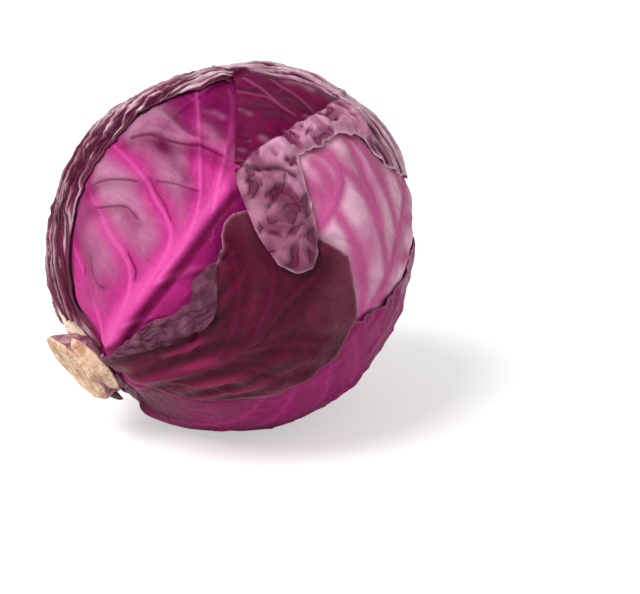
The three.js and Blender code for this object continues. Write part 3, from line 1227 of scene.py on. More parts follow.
@dataclass
class Leaf:
    """A wrapper or head leaf: a thin sheet bent round the head, with veins, puffed panels and a wavy rim."""

    plan: LeafPlan
    finish: LeafFinish
    slot: str = "wrapper_leaf"
    veins: VeinPlan | None = None
    thickness: float = 0.65
    puff: float = 1.5
    puff_reach: float = 9.0
    crinkle: float = 0.35
    crinkle_size: float = 8.0
    ruffle: float = 0.5
    wrinkle: float = 0.32
    wrinkle_pitch: float = 7.0
    creases: tuple[Vein, ...] = ()
    strokes: tuple[Stroke, ...] = ()
    # The bloom amount sets waxy bloom with painted highlights on the panels, near_rim and far_rim the painted
    # highlight on each margin, and foot_shade the painted shade near the stalk.
    bloom: float = 0.45
    near_rim: float = 0.25
    far_rim: float = 0.25
    foot_shade: float = 0.9
    foot_reach: float = 23.0
    foot_sink: float = 0.0

    def surface(self, sheet: Sheet) -> None:
        """Shapes the leaf's blade and sets its masks, with painted highlights on its panels and rim and
        painted shade near the stalk.

        Args:
            sheet: The leaf as laid out so far.
        """
        plan, points = self.plan, sheet.points
        net = self.veins.field(sheet) if self.veins else VeinField.blank(len(points))
        cut = VeinField.blank(len(points))
        for crease in self.creases:
            cut.add(crease, sheet)
        clear = np.minimum(net.clear, cut.clear)
        panel = 1 - hump(clear, self.puff_reach)
        open_blade = 1 - hump(net.clear, 0.75 * self.puff_reach)
        uneven = 0.75 + 0.35 * sheet.waves(34.0, 3)
        domes = Cells(self.crinkle_size, plan.seed + 7).domes(points, 0.6)
        near_rim = hump(sheet.rim_gap, 9.0)
        small = sheet.waves(11.0, 13)
        sheet.relief += net.height + self.puff * panel * uneven - cut.height
        sheet.relief += self.crinkle * domes * (0.4 + 0.6 * panel)
        sheet.relief += self.ruffle * near_rim * (0.5 + 0.5 * small)
        wrinkles = sheet.strands(self.wrinkle_pitch, 3.5 * self.wrinkle_pitch, 17)
        gathered = ease(-0.4, 0.5, sheet.waves(30.0, 18))
        sheet.draw(wrinkles.side(sheet.walked, sheet.sideways), self.wrinkle * gathered * open_blade**0.3)
        patchy = 0.62 + 0.38 * sheet.waves(26.0, 5)
        length = np.clip((sheet.along - FOOT) / (plan.tip - FOOT), 0, 1)
        sheet.put(Mask.DEPTH, length * 1.25)
        sheet.put(Mask.GLOW, net.glow * (1.1 - 0.7 * length))
        sheet.put(Mask.VEIN, net.paint * (1.0 - 0.35 * length))
        # Waxy bloom with painted highlights on the puffed panels between the veins.
        sheet.put(Mask.BLOOM, self.bloom * open_blade**1.2 * patchy * 1.6)
        near, far = plan.margins(sheet.along)
        # Painted highlight along each margin.
        light = np.where(sheet.across < (near + far) / 2, self.near_rim, self.far_rim)
        sheet.masks[Mask.RIM] = light * hump(sheet.rim_gap, 0.8)
        from_stem = np.arccos(np.cos(sheet.along * DEGREE) * np.cos(sheet.across * DEGREE)) / DEGREE
        # Painted shade near the stalk.
        foot = self.foot_shade * ease(self.foot_reach, 12.0, from_stem)
        sheet.lift -= self.foot_sink * ease(21.0, 13.0, from_stem)
        sheet.put(Mask.CREASE, np.maximum(cut.paint, foot))

    def lay(self, head: HeadForm, x: Array, y: Array) -> Laid:
        """Lays the leaf out.

        Args:
            head: The head it lies on.
            x: -1 on the near edge to 1 on the far edge.
            y: 0 at the stalk to 1 at the tip.

        Returns:
            The angles along, the angles across, how far a fold lifts each point, and how much of it
            shows its back.
        """
        along, across = self.plan.lay(head, x, y)
        return along, across, np.zeros(len(x)), np.zeros(len(x))

    def grid(self) -> Mesh:
        """Makes the flat grid that is bent into the leaf.

        Returns:
            The grid, with its last row drawn together into the leaf's tip.
        """
        sheet = bmesh.new()
        bmesh.ops.create_grid(sheet, x_segments=self.plan.columns, y_segments=self.plan.rows, size=1.0)
        tip_row = [v for v in sheet.verts if v.co.y > 1 - SMALL]
        bmesh.ops.pointmerge(sheet, verts=tip_row, merge_co=Vector((0.0, 1.0, 0.0)))
        return mesh_of(sheet, f"{self.plan.name}_sheet")


@dataclass
class FrontLeaf(Leaf):
    """The bright leaf turned to the front: a stout midrib, steep on one side, with a groove beside it."""

    groove: float = 0.9
    groove_place: float = 8.2

    def surface(self, sheet: Sheet) -> None:
        """Gives the midrib its steep near side, with a groove and painted shadow beside it and a violet strip
        past that.

        Args:
            sheet: The leaf as laid out so far.
        """
        super().surface(sheet)
        masks, rib = sheet.masks, self.veins.midrib
        distance, place = rib.near(sheet)
        near_side = sheet.across < through(rib.path, sheet.along)
        fade = 1 - ease(0.75, 1.0, place)
        foot = self.groove_place * (1 - 0.35 * place)
        strength = 1 - (1 - rib.taper) * place
        round_back = hump(distance, rib.width * strength)
        steep_side = ease(0.95, 0.35, distance / foot)
        sheet.relief += rib.height * strength * fade * near_side * np.maximum(steep_side - round_back, 0)
        groove = hump(distance - foot, 1.9) * fade * near_side
        sheet.relief -= self.groove * groove
        shadow = ease(-4.2, -1.0, distance - foot) * ease(2.6, 0.4, distance - foot) * fade * near_side
        sheet.top_up(Mask.CREASE, 0.85 * shadow)
        fibres = sheet.strands(1.3, 60.0, 80).at(distance, sheet.walked)
        on_rib = ease(7.0, 3.0, distance) * fade
        sheet.put(Mask.VEIN, masks[Mask.VEIN] * (1 - 0.3 * on_rib * fibres) + 0.12 * on_rib)
        sheet.relief += 0.16 * on_rib * fibres
        strip = ease(-2.0, 0.6, distance - foot) * near_side * ease(108.0, 90.0, sheet.along)
        sheet.top_up(Mask.DEPTH, (0.56 + 0.42 * ease(0.3, 0.75, place)) * strip)
        sheet.fade(1 - 0.97 * strip, Mask.BLOOM)
        sheet.fade(1 - 0.85 * strip, Mask.GLOW, Mask.VEIN)
        # Waxy bloom and painted highlights stay mostly on the middle panels.
        bloom_and_sheen_share = ease(40.0, 56.0, sheet.along) * ease(104.0, 94.0, sheet.along) * ease(-6.0, 4.0, sheet.across)
        sheet.fade(0.1 + 0.9 * bloom_and_sheen_share, Mask.BLOOM)
        top = ease(98.0, 108.0, sheet.along)
        sheet.fade(1 - 0.45 * top, Mask.GLOW)


@dataclass
class PleatedLeaf(Leaf):
    """A leaf whose near margin is gathered into pleats that run along it."""

    pleat_height: float = 2.2
    pleat_pitch: float = 3.7
    pleat_length: float = 48.0
    pleat_reach: float = 46.0
    pleat_slant: float = 0.13
    crowding: float = 1.7

    def lay(self, head: HeadForm, x: Array, y: Array) -> Laid:
        """Lays the leaf out as usual, with its columns crowded towards the pleated margin."""
        return super().lay(head, 2 * ((x + 1) / 2) ** self.crowding - 1, y)

    def surface(self, sheet: Sheet) -> None:
        """Adds the pleats, with painted highlights on their crests and painted shade in their valleys.

        Args:
            sheet: The leaf as laid out so far.
        """
        super().surface(sheet)
        near, _ = self.plan.margins(sheet.along)
        inward = (sheet.across - near) * MM_PER_DEGREE
        inward += 2.0 * sheet.waves(46.0, 21)
        inward += 0.6 * sheet.waves(14.0, 22)
        walked, pitch, length = sheet.walked, self.pleat_pitch, self.pleat_length
        inward -= self.pleat_slant * walked
        large = sheet.strands(pitch, length, 23).at(inward, walked)
        small = sheet.strands(0.45 * pitch, 0.4 * length, 24).at(inward, walked)
        area = ease(self.pleat_reach, self.pleat_reach * 0.6, sheet.inset * MM_PER_DEGREE)
        area = area * ease(-9.0, 4.0, sheet.along)
        knots = 0.5 + 0.5 * sheet.waves(9.0, 25)
        held = 0.25 + 0.75 * ease(0.0, 6.0, sheet.inset * MM_PER_DEGREE)
        sheet.relief += self.pleat_height * area * held * (0.62 * large + 0.25 * small + 0.25 * knots)
        rise = 0.6 * large + 0.4 * small
        # Painted highlight on the pleat crests, stronger towards the top, painted shade in the valleys, and
        # bloom with painted highlights on the flanks.
        lofty = ease(56.0, 112.0, sheet.along)
        crest = ease(0.62 - 0.26 * lofty, 0.98 - 0.18 * lofty, rise) * area * (0.6 + 0.4 * lofty)
        valley = ease(0.4, 0.08, rise) * area * (1 - 0.25 * lofty)
        bloom_and_sheen_share = ease(0.25 - 0.1 * lofty, 0.85 - 0.1 * lofty, rise) * area * (0.38 + 0.62 * lofty)
        sheet.top_up(Mask.RIM, crest)
        sheet.put(Mask.BLOOM, 0.2 * sheet.masks[Mask.BLOOM] + bloom_and_sheen_share)
        sheet.top_up(Mask.CREASE, 0.8 * valley)
        sheet.fade(1 - area, Mask.INK)
        for pitch_share, length_share, step, ink in ((0.8, 1.0, 26, 1.0), (0.5, 0.6, 27, 0.7)):
            clefts = sheet.strands(pitch_share * pitch, length_share * length, step)
            sheet.draw(clefts.side(inward, walked), ink * area)


@dataclass
class CrownLeaf(Leaf):
    """The leaf over the crown, with a long tongue hanging down the front.

    The tongue is dark on one side of a fold line and pale and blistered on the other, with waxy bloom and
    painted highlights on the blisters and painted shade in the hollows and along the fold. Where it comes
    over the crown the leaf is drawn into pleats that run across it.
    """

    fold_line: Path = (
        (196, -10), (206, -14.5), (217, -17), (233.5, -20.5), (248, -23), (257, -24.5), (266, -22),
        (273, -10),
    )
    blister_height: float = 1.9
    blister_size: float = 11.0
    pleat_height: float = 1.9
    pleat_sink: float = 1.7
    tongue_start: float = 0.62
    tongue_rows: float = 0.56

    def lay(self, head: HeadForm, x: Array, y: Array) -> Laid:
        """Lays the leaf out as usual, with most of its rows on the tongue."""
        return super().lay(head, x, np.interp(y, (0, 1 - self.tongue_rows, 1), (0, self.tongue_start, 1)))

    def surface(self, sheet: Sheet) -> None:
        """Adds the fold line, the blisters and the pleats over the crown, with painted highlights on the
        blisters and painted shade along the fold and in the hollows.

        Args:
            sheet: The leaf as laid out so far.
        """
        super().surface(sheet)
        masks = sheet.masks
        line = through(self.fold_line, sheet.along)
        past = (sheet.across - line) * MM_PER_DEGREE
        past += 0.9 * sheet.waves(9.0, 30)
        start = 204.0 + 12.0 * ease(-8.0, 6.0, sheet.across)
        tongue = ease(-2.0, 8.0, sheet.along - start)
        pale = ease(-0.6, 1.4, past) * tongue
        pillow, pinch, pinched = Pillows(self.blister_size, self.plan.seed + 31).at(sheet.points)
        held = 0.25 + 0.75 * ease(0.0, 4.5, sheet.rim_gap)
        sheet.relief += pale * held * (0.5 + self.blister_height * pillow)
        # Bloom with painted highlights on the blisters and along a border beside the fold, weaker where the
        # tongue hangs.
        border = 0.95 * hump(past - 2.6, 2.4) * ease(0.1, 0.6, pillow)
        patchy = 0.86 + 0.3 * sheet.waves(17.0, 33)
        hanging = ease(246.0, 260.0, sheet.along)
        bloom_and_sheen_share = patchy * (0.36 + 0.64 * ease(0.1, 0.8, pillow))
        blistered = pale * np.maximum(bloom_and_sheen_share, border) * (1 - 0.45 * hanging)
        sheet.put(Mask.BLOOM, np.maximum(blistered, masks[Mask.BLOOM] * (1 - 0.8 * tongue)))
        sheet.fade(1 - tongue, Mask.GLOW)
        # Painted shade: deeper magenta in the hollows between the blisters, and the crease colour along the
        # fold and in the hollows.
        sheet.top_up(Mask.GLOW, 0.4 * pale * (1 - pillow) * (1 - hanging))
        fold = hump(past + 0.9, 1.0) * tongue
        hollow = ease(0.5, 0.1, pillow) * pale * 0.2
        sheet.top_up(Mask.CREASE, np.maximum(0.5 * fold, hollow))
        sheet.fade(1 - 0.8 * tongue, Mask.INK)
        sheet.draw(pinch, 0.85 * pinched * pale)
        # The painted rim highlight is broken up on the tongue and weaker where it hangs.
        broken_rim = 0.55 + 0.45 * sheet.waves(12.0, 34)
        sheet.fade(np.where(tongue > 0.5, broken_rim * (1 - 0.5 * hanging), 1.0), Mask.RIM)
        self.gather(sheet, start)

    def gather(self, sheet: Sheet, start: Array) -> None:
        """Draws the leaf into pleats where it comes over the crown, with painted highlights on their crests
        and painted shade between them.

        Args:
            sheet: The leaf as laid out so far.
            start: The angle along at which the tongue starts, place by place.
        """
        band = ease(8.0, 0.0, sheet.along - start) * ease(172.0, 192.0, sheet.along)
        rows, columns = sheet.walked + 2.0 * sheet.waves(34.0, 35), sheet.sideways
        large = sheet.strands(4.4, 46.0, 36).at(rows, columns)
        small = sheet.strands(2.3, 18.0, 37).at(rows, columns)
        rise = 0.6 * large + 0.4 * small
        sheet.relief += band * (self.pleat_height * (0.7 * large + 0.3 * small) - self.pleat_sink)
        # Painted highlights on the pleat crests, paler near the top, bloom with painted highlights on their
        # flanks, and painted shade in the troughs.
        pale_top = ease(212.0, 203.0, sheet.along)
        sheet.top_up(Mask.RIM, band * ease(0.5 - 0.2 * pale_top, 0.92 - 0.2 * pale_top, rise))
        sheet.top_up(Mask.BLOOM, (0.45 + 0.4 * pale_top) * band * ease(0.15, 0.6, rise))
        sheet.top_up(Mask.CREASE, 0.7 * band * ease(0.34, 0.06, rise))
        sheet.fade(1 - band, Mask.INK)
        for pitch, length, step, ink in ((3.2, 52.0, 38, 1.0), (1.9, 34.0, 39, 0.7)):
            sheet.draw(sheet.strands(pitch, length, step).side(rows, columns), ink * band)


@dataclass
class FoldedLeaf(Leaf):
    """A leaf whose far margin is rolled outwards and lies back over its blade as a dull flap."""

    flap_edge: Path = (
        (9, 8), (18, 9.6), (28, 11.6), (40, 11.9), (50, 12.2), (57, 11.8), (61.5, 11.6), (65, 14.5),
        (69, 20), (73, 26),
    )
    roll_radius: float = 1.2
    flap_share: float = 0.36
    ridge_height: float = 1.7
    ridge_pitch: float = 11.0

    def surface(self, sheet: Sheet) -> None:
        """Adds the ridges that run from the base, with painted highlights on them and painted shade between
        them, and the lumps above them, then dresses the flap.

        Args:
            sheet: The leaf as laid out so far.
        """
        super().surface(sheet)
        spread = np.sin(np.clip(sheet.along, 12, 90) * DEGREE)
        fan = (sheet.across - 5.0) / (0.3 + 0.7 * spread) * MM_PER_DEGREE
        sway = 3.0 * sheet.waves(36.0, 61)
        ridge = 0.5 + 0.5 * np.sin(2 * math.pi * (fan + sway) / self.ridge_pitch)
        broken = np.clip(0.55 + 0.6 * sheet.waves(24.0, 62), 0.0, 1)
        low = ease(11.0, 22.0, sheet.along) * ease(84.0, 55.0, sheet.along)
        sheet.relief += self.ridge_height * ridge * broken * low
        lumps = Cells(15.0, self.plan.seed + 63).domes(sheet.points, 0.8)
        sheet.relief += 1.8 * lumps * ease(50.0, 66.0, sheet.along)
        # Painted highlight on the ridges and painted shade between them.
        sheet.top_up(Mask.GLOW, 0.8 * ridge**2 * broken * low)
        sheet.top_up(Mask.CREASE, 0.6 * (1 - ridge) ** 2 * low)
        # A painted highlight on the ridges' crests.
        bloom_and_sheen_share = 0.75 * ridge**5 * broken * ease(76.0, 50.0, sheet.along) * ease(12.0, 20.0, sheet.along)
        sheet.top_up(Mask.BLOOM, bloom_and_sheen_share)
        self.dress_flap(sheet)

    def dress_flap(self, sheet: Sheet) -> None:
        """Paints shadow on the blade under the flap's free edge, and gives the flap its folds with painted
        shade in them, a painted highlight along its roll and on its swells, and its dull face.

        Args:
            sheet: The leaf as laid out so far.
        """
        masks, flap = sheet.masks, sheet.masks[Mask.BACK]
        under = (through(self.flap_edge, sheet.along) - sheet.across) * MM_PER_DEGREE
        shade = ease(3.6, 0.2, under) * ease(-6.0, -3.0, under) * ease(10.0, 16.0, sheet.along)
        shade = shade * ease(70.0, 62.0, sheet.along) * (1 - flap)
        sheet.top_up(Mask.CREASE, 0.9 * shade)
        walked = sheet.walked + 0.5 * sheet.across
        inward = sheet.sideways + 1.2 * sheet.waves(12.0, 64)
        lengthwise, crosswise = sheet.strands(3.6, 34.0, 65), sheet.strands(6.0, 16.0, 66)
        upper = ease(44.0, 50.0, sheet.along)
        folds = ease(0.66, 0.95, lengthwise.at(inward, walked)) * (1 - 0.5 * upper)
        wrinkle = np.maximum(folds, ease(0.6, 0.95, crosswise.at(walked, inward)) * upper)
        swell = 0.5 + 0.5 * sheet.waves(7.0, 67)
        crest = hump(flap - 0.35, 0.3) * (flap > 0) * ease(20.0, 30.0, sheet.along)
        sheet.relief += (0.8 * swell - 0.7 * wrinkle) * flap
        # Painted highlight along the roll and on the swells, and painted shade in the wrinkles.
        rim = np.maximum(0.8 * crest, 0.22 * flap * ease(0.6, 1.0, swell))
        masks[Mask.RIM] = np.where(flap > 0, rim, masks[Mask.RIM])
        masks[Mask.CREASE] = np.where(flap > 0.5, 0.7 * wrinkle, masks[Mask.CREASE])
        sheet.fade(flap < 0.5, Mask.INK)
        sheet.draw(lengthwise.side(inward, walked), (flap > 0.5) * (1 - 0.5 * upper))
        sheet.draw(sheet.strands(1.8, 22.0, 68).side(inward, walked), 0.8 * (flap > 0.5) * (1 - upper))
        sheet.draw(crosswise.side(walked, inward), 0.35 * upper * (flap > 0.5))
        sheet.fade(1 - flap, Mask.GLOW, Mask.VEIN, Mask.BLOOM)

    def lay(self, head: HeadForm, x: Array, y: Array) -> Laid:
        """Lays the blade out, then turns the far share of its columns back over it.

        Args:
            head: The head it lies on.
            x: -1 on the near edge to 1 on the far edge.
            y: 0 at the stalk to 1 at the tip.

        Returns:
            The angles along, the angles across, the lift of the fold and how much shows its back.
        """
        turn_at = 1 - 2 * self.flap_share
        blade_x = np.minimum((x + 1) / (turn_at + 1) * 2 - 1, 1.0)
        along, across = self.plan.lay(head, blade_x, y)
        _, fold = self.plan.margins(along)
        wobble = 0.8 * Waves(7.0, self.plan.seed + 40).at(along[:, None])
        free = np.minimum(through(self.flap_edge, along) + wobble, fold)
        wide = np.where(along < 76, np.maximum(fold - free, 0), 0.0)
        radius = self.roll_radius * ease(0.0, 3.0, wide)
        half_round = math.pi * radius
        walk = np.clip((x - turn_at) / (1 - turn_at), 0, 1) * (half_round + wide * MM_PER_DEGREE)
        angle = np.where(radius > SMALL, walk / np.maximum(radius, SMALL), 0.0)
        in_roll = (angle < math.pi) & (x > turn_at)
        past = np.maximum(walk - half_round, 0)
        bulge = np.where(in_roll, radius * np.sin(np.minimum(angle, math.pi)), 0.0)
        lift = np.where(x > turn_at, radius * (1 - np.cos(np.minimum(angle, math.pi))), 0.0)
        across = across + (bulge - past) / MM_PER_DEGREE
        flat = np.column_stack([along, across]) * MM_PER_DEGREE
        flutter = 0.5 + 0.5 * Waves(9.0, self.plan.seed + 41).at(flat)
        lift += 0.9 * flutter * ease(0.0, 5.0, past) * (x > turn_at)
        return along, across, lift, ease(0.6, 2.4, angle) * (x > turn_at)


@dataclass
class StreakedLeaf(Leaf):
    """A leaf drawn into long low ridges that run from its base."""

    streak_height: float = 0.9
    streak_pitch: float = 7.0

    def surface(self, sheet: Sheet) -> None:
        """Adds the ridges.

        Args:
            sheet: The leaf as laid out so far.
        """
        super().surface(sheet)
        fan = sheet.sideways / (0.35 + 0.65 * np.sin(np.minimum(sheet.along, 90) * DEGREE))
        sway = 2.5 * sheet.waves(38.0, 51)
        ridge = (0.5 + 0.5 * np.sin(2 * math.pi * (fan + sway) / self.streak_pitch)) ** 2
        broken = np.clip(0.5 + 0.7 * sheet.waves(28.0, 52), 0, 1)
        sheet.relief += self.streak_height * ridge * broken * ease(10.0, 24.0, sheet.along)


@dataclass
class LeafStack:
    """All the leaves, outermost first, and the way they lie on one another."""

    head: HeadForm
    wrappers: list[Leaf]
    head_leaves: list[Leaf]
    floor_level: float = -3.4
    wrapper_step: float = 1.15
    head_step: float = 1.0
    rim_tuck: float = 0.65
    edge_shade: float = 0.22

    def shape(self, leaf: Leaf, outer: list[Leaf], inner: list[Leaf], depth: float) -> Object:
        """Bends one leaf round the head, over the leaves inside it and under those outside it.

        Args:
            leaf: The leaf.
            outer: The leaves outside it.
            inner: The wrapper leaves inside it.
            depth: How far under the wrappers' own level it starts.

        Returns:
            The finished leaf.
        """
        head, plan = self.head, leaf.plan
        mesh = leaf.grid()
        flat = points_of(mesh)
        sheet = Sheet(plan, head, *leaf.lay(head, flat[:, 0], (flat[:, 1] + 1) / 2))
        leaf.surface(sheet)
        for stroke in leaf.strokes:
            stroke.lay(sheet)
        covered, shaded, above, below = np.zeros((4, len(flat)))
        for other in outer:
            covered = np.maximum(covered, other.plan.cover(head, sheet.ways, 0.4, 3.2))
            shaded = np.maximum(shaded, other.plan.cover(head, sheet.ways, 0.0, 3.5))
            above += self.wrapper_step * other.plan.cover(head, sheet.ways, 2.0, 6.0)
        for other in inner:
            below += self.wrapper_step * other.plan.cover(head, sheet.ways, 2.0, 11.0)
        sheet.top_up(Mask.CREASE, self.edge_shade * shaded)
        tuck = self.rim_tuck * hump(sheet.rim_gap, 5.0) * np.minimum(below, 1.0) * (sheet.back < 0.5)
        level = head.reach(sheet.ways) + self.floor_level - depth + below - tuck
        reach = level + (sheet.relief + sheet.lift) * (1 - covered)
        reach = np.minimum(reach, head.ground(sheet.ways) - above - depth)
        move_points(mesh, head.centre + sheet.ways * reach[:, None])
        for mask, values in sheet.masks.items():
            add_mask(mesh, mask.value, values)
        self.write_uv(mesh, sheet)
        return self.finish(leaf, mesh)

    @staticmethod
    def write_uv(mesh: Mesh, sheet: Sheet) -> None:
        """Gives the leaf a UV map that follows its midrib.

        Args:
            mesh: The leaf's mesh.
            sheet: The leaf as it was laid out.
        """
        corners = np.zeros(len(mesh.loops), int)
        mesh.loops.foreach_get("vertex_index", corners)
        layout = np.column_stack([0.5 + sheet.across / 180.0, sheet.along / 300.0])[corners]
        layer = mesh.uv_layers.new(name=LAYOUT_NAME)
        layer.data.foreach_set("uv", layout.astype(np.float32).ravel())

    def finish(self, leaf: Leaf, mesh: Mesh) -> Object:
        """Gives a leaf its thickness, its material and its place in the model.

        Args:
            leaf: The leaf.
            mesh: Its bent mesh.

        Returns:
            The finished leaf.
        """
        piece = add_piece(f"{leaf.plan.name}_blade", mesh, leaf.plan.name, leaf.finish, leaf.slot)
        count = len(mesh.polygons)
        normals, centres = np.zeros(count * 3), np.zeros(count * 3)
        mesh.polygons.foreach_get("normal", normals)
        mesh.polygons.foreach_get("center", centres)
        outward = centres.reshape(-1, 3) - self.head.centre * MM
        if (outward * normals.reshape(-1, 3)).sum() < 0:
            mesh.flip_normals()
        wall = piece.modifiers.new("wall", "SOLIDIFY")
        wall.thickness = leaf.thickness * MM
        wall.offset = -1.0
        return piece

    def build(self) -> list[Object]:
        """Builds every leaf.

        Returns:
            The leaves, outermost first.
        """
        made = []
        for index, leaf in enumerate(self.wrappers):
            made.append(self.shape(leaf, self.wrappers[:index], self.wrappers[index + 1 :], 0.0))
        for index, leaf in enumerate(self.head_leaves, 1):
            made.append(self.shape(leaf, [], [], self.wrapper_step * 0.4 + self.head_step * index))
        return made


# ---- stalk and stubs


@dataclass(frozen=True)
class WoodFinish:
    """Cut cabbage stalk: pale fibrous flesh on the cut, mauve skin round it."""

    name: str
    flesh: Tone = (248, 218, 188)
    flesh_dark: Tone = (196, 146, 112)
    skin: Tone = (134, 68, 90)
    skin_pale: Tone = (220, 172, 180)
    pitting: float = 0.45

    @staticmethod
    def fibre_group() -> NodeTree:
        """Builds the group that lays fibres and pits over cut flesh and skin, the first time.

        Returns:
            The group.
        """
        name = "cut_fibre"
        if name in bpy.data.node_groups:
            return bpy.data.node_groups[name]
        takes = {"Where": SocketKind.VECTOR, SKIN_MASK: SocketKind.NUMBER, "Pitting": SocketKind.NUMBER}
        takes |= {label: SocketKind.COLOUR for label in ("Flesh", "Dark Flesh", "Skin", "Pale Skin")}
        gives = {"Colour": SocketKind.COLOUR, "Roughness": SocketKind.NUMBER, "Height": SocketKind.NUMBER}
        board, entry, leave = new_group(name, takes, gives)
        read = entry.outputs
        where = read["Where"]
        cloud = board.noise(where, 110.0, 4.0, 0.6, 0.8)
        grit = board.noise(where, 520.0, 4.0, 0.7)
        pits = board.node("ShaderNodeTexVoronoi", {"Vector": where, "Scale": 420.0}).outputs["Distance"]
        pit = board.band(pits, 0.12, 0.3, 1.0, 0.0)
        flesh = board.mix(board.band(cloud, 0.4, 0.68), read["Flesh"], read["Dark Flesh"])
        flesh = board.mix(board.band(grit, 0.5, 0.75, 0.0, 0.5), flesh, read["Dark Flesh"])
        flesh = board.mix(board.times(pit, read["Pitting"]), flesh, (0.3, 0.14, 0.07, 1.0))
        skin = board.mix(board.band(cloud, 0.35, 0.7), read["Skin"], read["Pale Skin"])
        skin = board.mix(board.band(grit, 0.5, 0.8, 0.0, 0.4), skin, (0.1, 0.03, 0.05, 1.0))
        blend = board.sum("ADD", read[SKIN_MASK], board.band(grit, 0.3, 0.7, -0.25, 0.25), clamp=True)
        colour = board.mix(board.band(blend, 0.35, 0.65), flesh, skin)
        rough = board.band(cloud, 0.3, 0.7, 0.6, 0.85)
        height = board.sum("SUBTRACT", board.times(grit, 0.7), board.times(pit, 0.5))
        board.feed(leave, {"Colour": colour, "Roughness": rough, "Height": height})
        return board.tree

    def make(self) -> Material:
        """Builds the material of this finish.

        Returns:
            The material, which reads the skin mask on the piece's mesh.
        """
        material, board, shader = new_material(self.name)
        wires = {"Where": board.place(), SKIN_MASK: board.attribute(SKIN_MASK), "Pitting": self.pitting}
        wires |= {"Flesh": tone(*self.flesh), "Dark Flesh": tone(*self.flesh_dark)}
        wires |= {"Skin": tone(*self.skin), "Pale Skin": tone(*self.skin_pale)}
        group = board.node("ShaderNodeGroup", wires, node_tree=self.fibre_group())
        bump = board.node("ShaderNodeBump", {"Height": group.outputs["Height"], "Distance": 0.0006})
        finish = {
            "Base Color": group.outputs["Colour"],
            "Roughness": group.outputs["Roughness"],
            "Normal": bump.outputs["Normal"],
            "Specular IOR Level": 0.3,
        }
        board.feed(shader, finish)
        return material


CREAM_CUT = WoodFinish("fresh_cut", (255, 234, 208), (240, 206, 178), pitting=0.05)
WITHERED = WoodFinish("withered_scale", (92, 66, 58), (52, 32, 34), skin=(54, 34, 40), skin_pale=(96, 74, 72))


@dataclass
class Stalk:
    """The stalk with its core: a turned body, then knocked out of round, with a rough tilted cut."""

    head: HeadForm
    finish: WoodFinish = WoodFinish("stalk_flesh")
    body_radius: float = 15.0
    cut_radius: float = 17.2
    end: float = 85.0
    core_end: float = 4.0
    cut_tilt: float = -0.09
    turns: int = 160
    profile_steps: int = 8
    node: str = "stalk"

    def profile(self) -> Path:
        """Lists the places that the turned form passes through.

        Returns:
            (radius, height) places, from the core's tip to the middle of the cut.
        """
        core, end = self.core_end, self.end
        return (
            (0.0, core),
            (5.0, core + 1.0),
            (8.0, core + 6.0),
            (11.0, core + 18.0),
            (self.body_radius - 0.5, 38.0),
            (self.body_radius, 46.0),
            (self.body_radius, end - 15.0),
            (self.body_radius + 0.4, end - 9.0),
            (self.cut_radius - 0.8, end - 4.6),
            (self.cut_radius, end - 1.4),
            (self.cut_radius - 0.9, end),
            (self.cut_radius - 3.0, end - 0.3),
            (self.cut_radius - 7.0, end - 0.5),
            (self.cut_radius - 12.0, end - 0.6),
            (0.0, end - 0.6),
        )

    def build(self) -> Object:
        """Builds and dresses the stalk.

        Returns:
            The finished stalk.
        """
        drawn = spline(self.profile(), self.profile_steps)
        drawn[:, 0] = np.maximum(drawn[:, 0], 0.0)
        body = bmesh.new()
        line = [body.verts.new((r * MM, 0.0, h * MM)) for r, h in drawn]
        edges = [body.edges.new(pair) for pair in zip(line, line[1:])]
        full_turn = {"cent": (0, 0, 0), "axis": (0, 0, 1), "angle": 2 * math.pi, "use_merge": True}
        bmesh.ops.spin(body, geom=line + edges, steps=self.turns, **full_turn)
        bmesh.ops.remove_doubles(body, verts=body.verts, dist=SMALL)
        bmesh.ops.recalc_face_normals(body, faces=body.faces)
        mesh = mesh_of(body, "stalk_body")
        self.weather(mesh)
        place_on_stem(mesh, self.head)
        return add_piece(f"{self.node}_piece", mesh, self.node, self.finish, "stalk")

    def weather(self, mesh: Mesh) -> None:
        """Knocks the turned form out of round, tilts the cut and marks where the skin is.

        Args:
            mesh: The stalk, upright about its own axis.
        """
        points = points_of(mesh) / MM
        radius = np.hypot(points[:, 0], points[:, 1])
        exposed = ease(self.end - 16.0, self.end - 6.0, points[:, 2])
        knobs = 1.0 * Waves(16.0, 61).at(points) + 0.5 * Waves(6.0, 62).at(points)
        points[:, :2] *= (1 + exposed * knobs / np.maximum(radius, 6.0))[:, None]
        on_cut = ease(self.end - 1.6, self.end - 0.8, points[:, 2])
        on_cut = on_cut * ease(self.cut_radius, self.cut_radius - 2, radius)
        fibres = Waves(2.4, 64, 24).at(points * np.array([1.0, 0.35, 1.0]))
        points[:, 2] += on_cut * (0.7 * Waves(8.0, 63).at(points) + 0.4 * fibres)
        skin = ease(self.end - 1.0, self.end - 2.0, points[:, 2] + 0.5 * Waves(9.0, 65).at(points))
        points[:, 2] += exposed * self.cut_tilt * points[:, 0]
        move_points(mesh, lean(points))
        add_mask(mesh, SKIN_MASK, skin)


def lean(points: Array, start: float = 66.0, end: float = 91.0) -> Array:
    """Bends the bare end of the stalk to one side, as it grew, between two heights on the stem axis."""
    share = ease(start, end, points[:, 2])
    return points + share[:, None] * np.array([0.0, 6.4, -0.5])


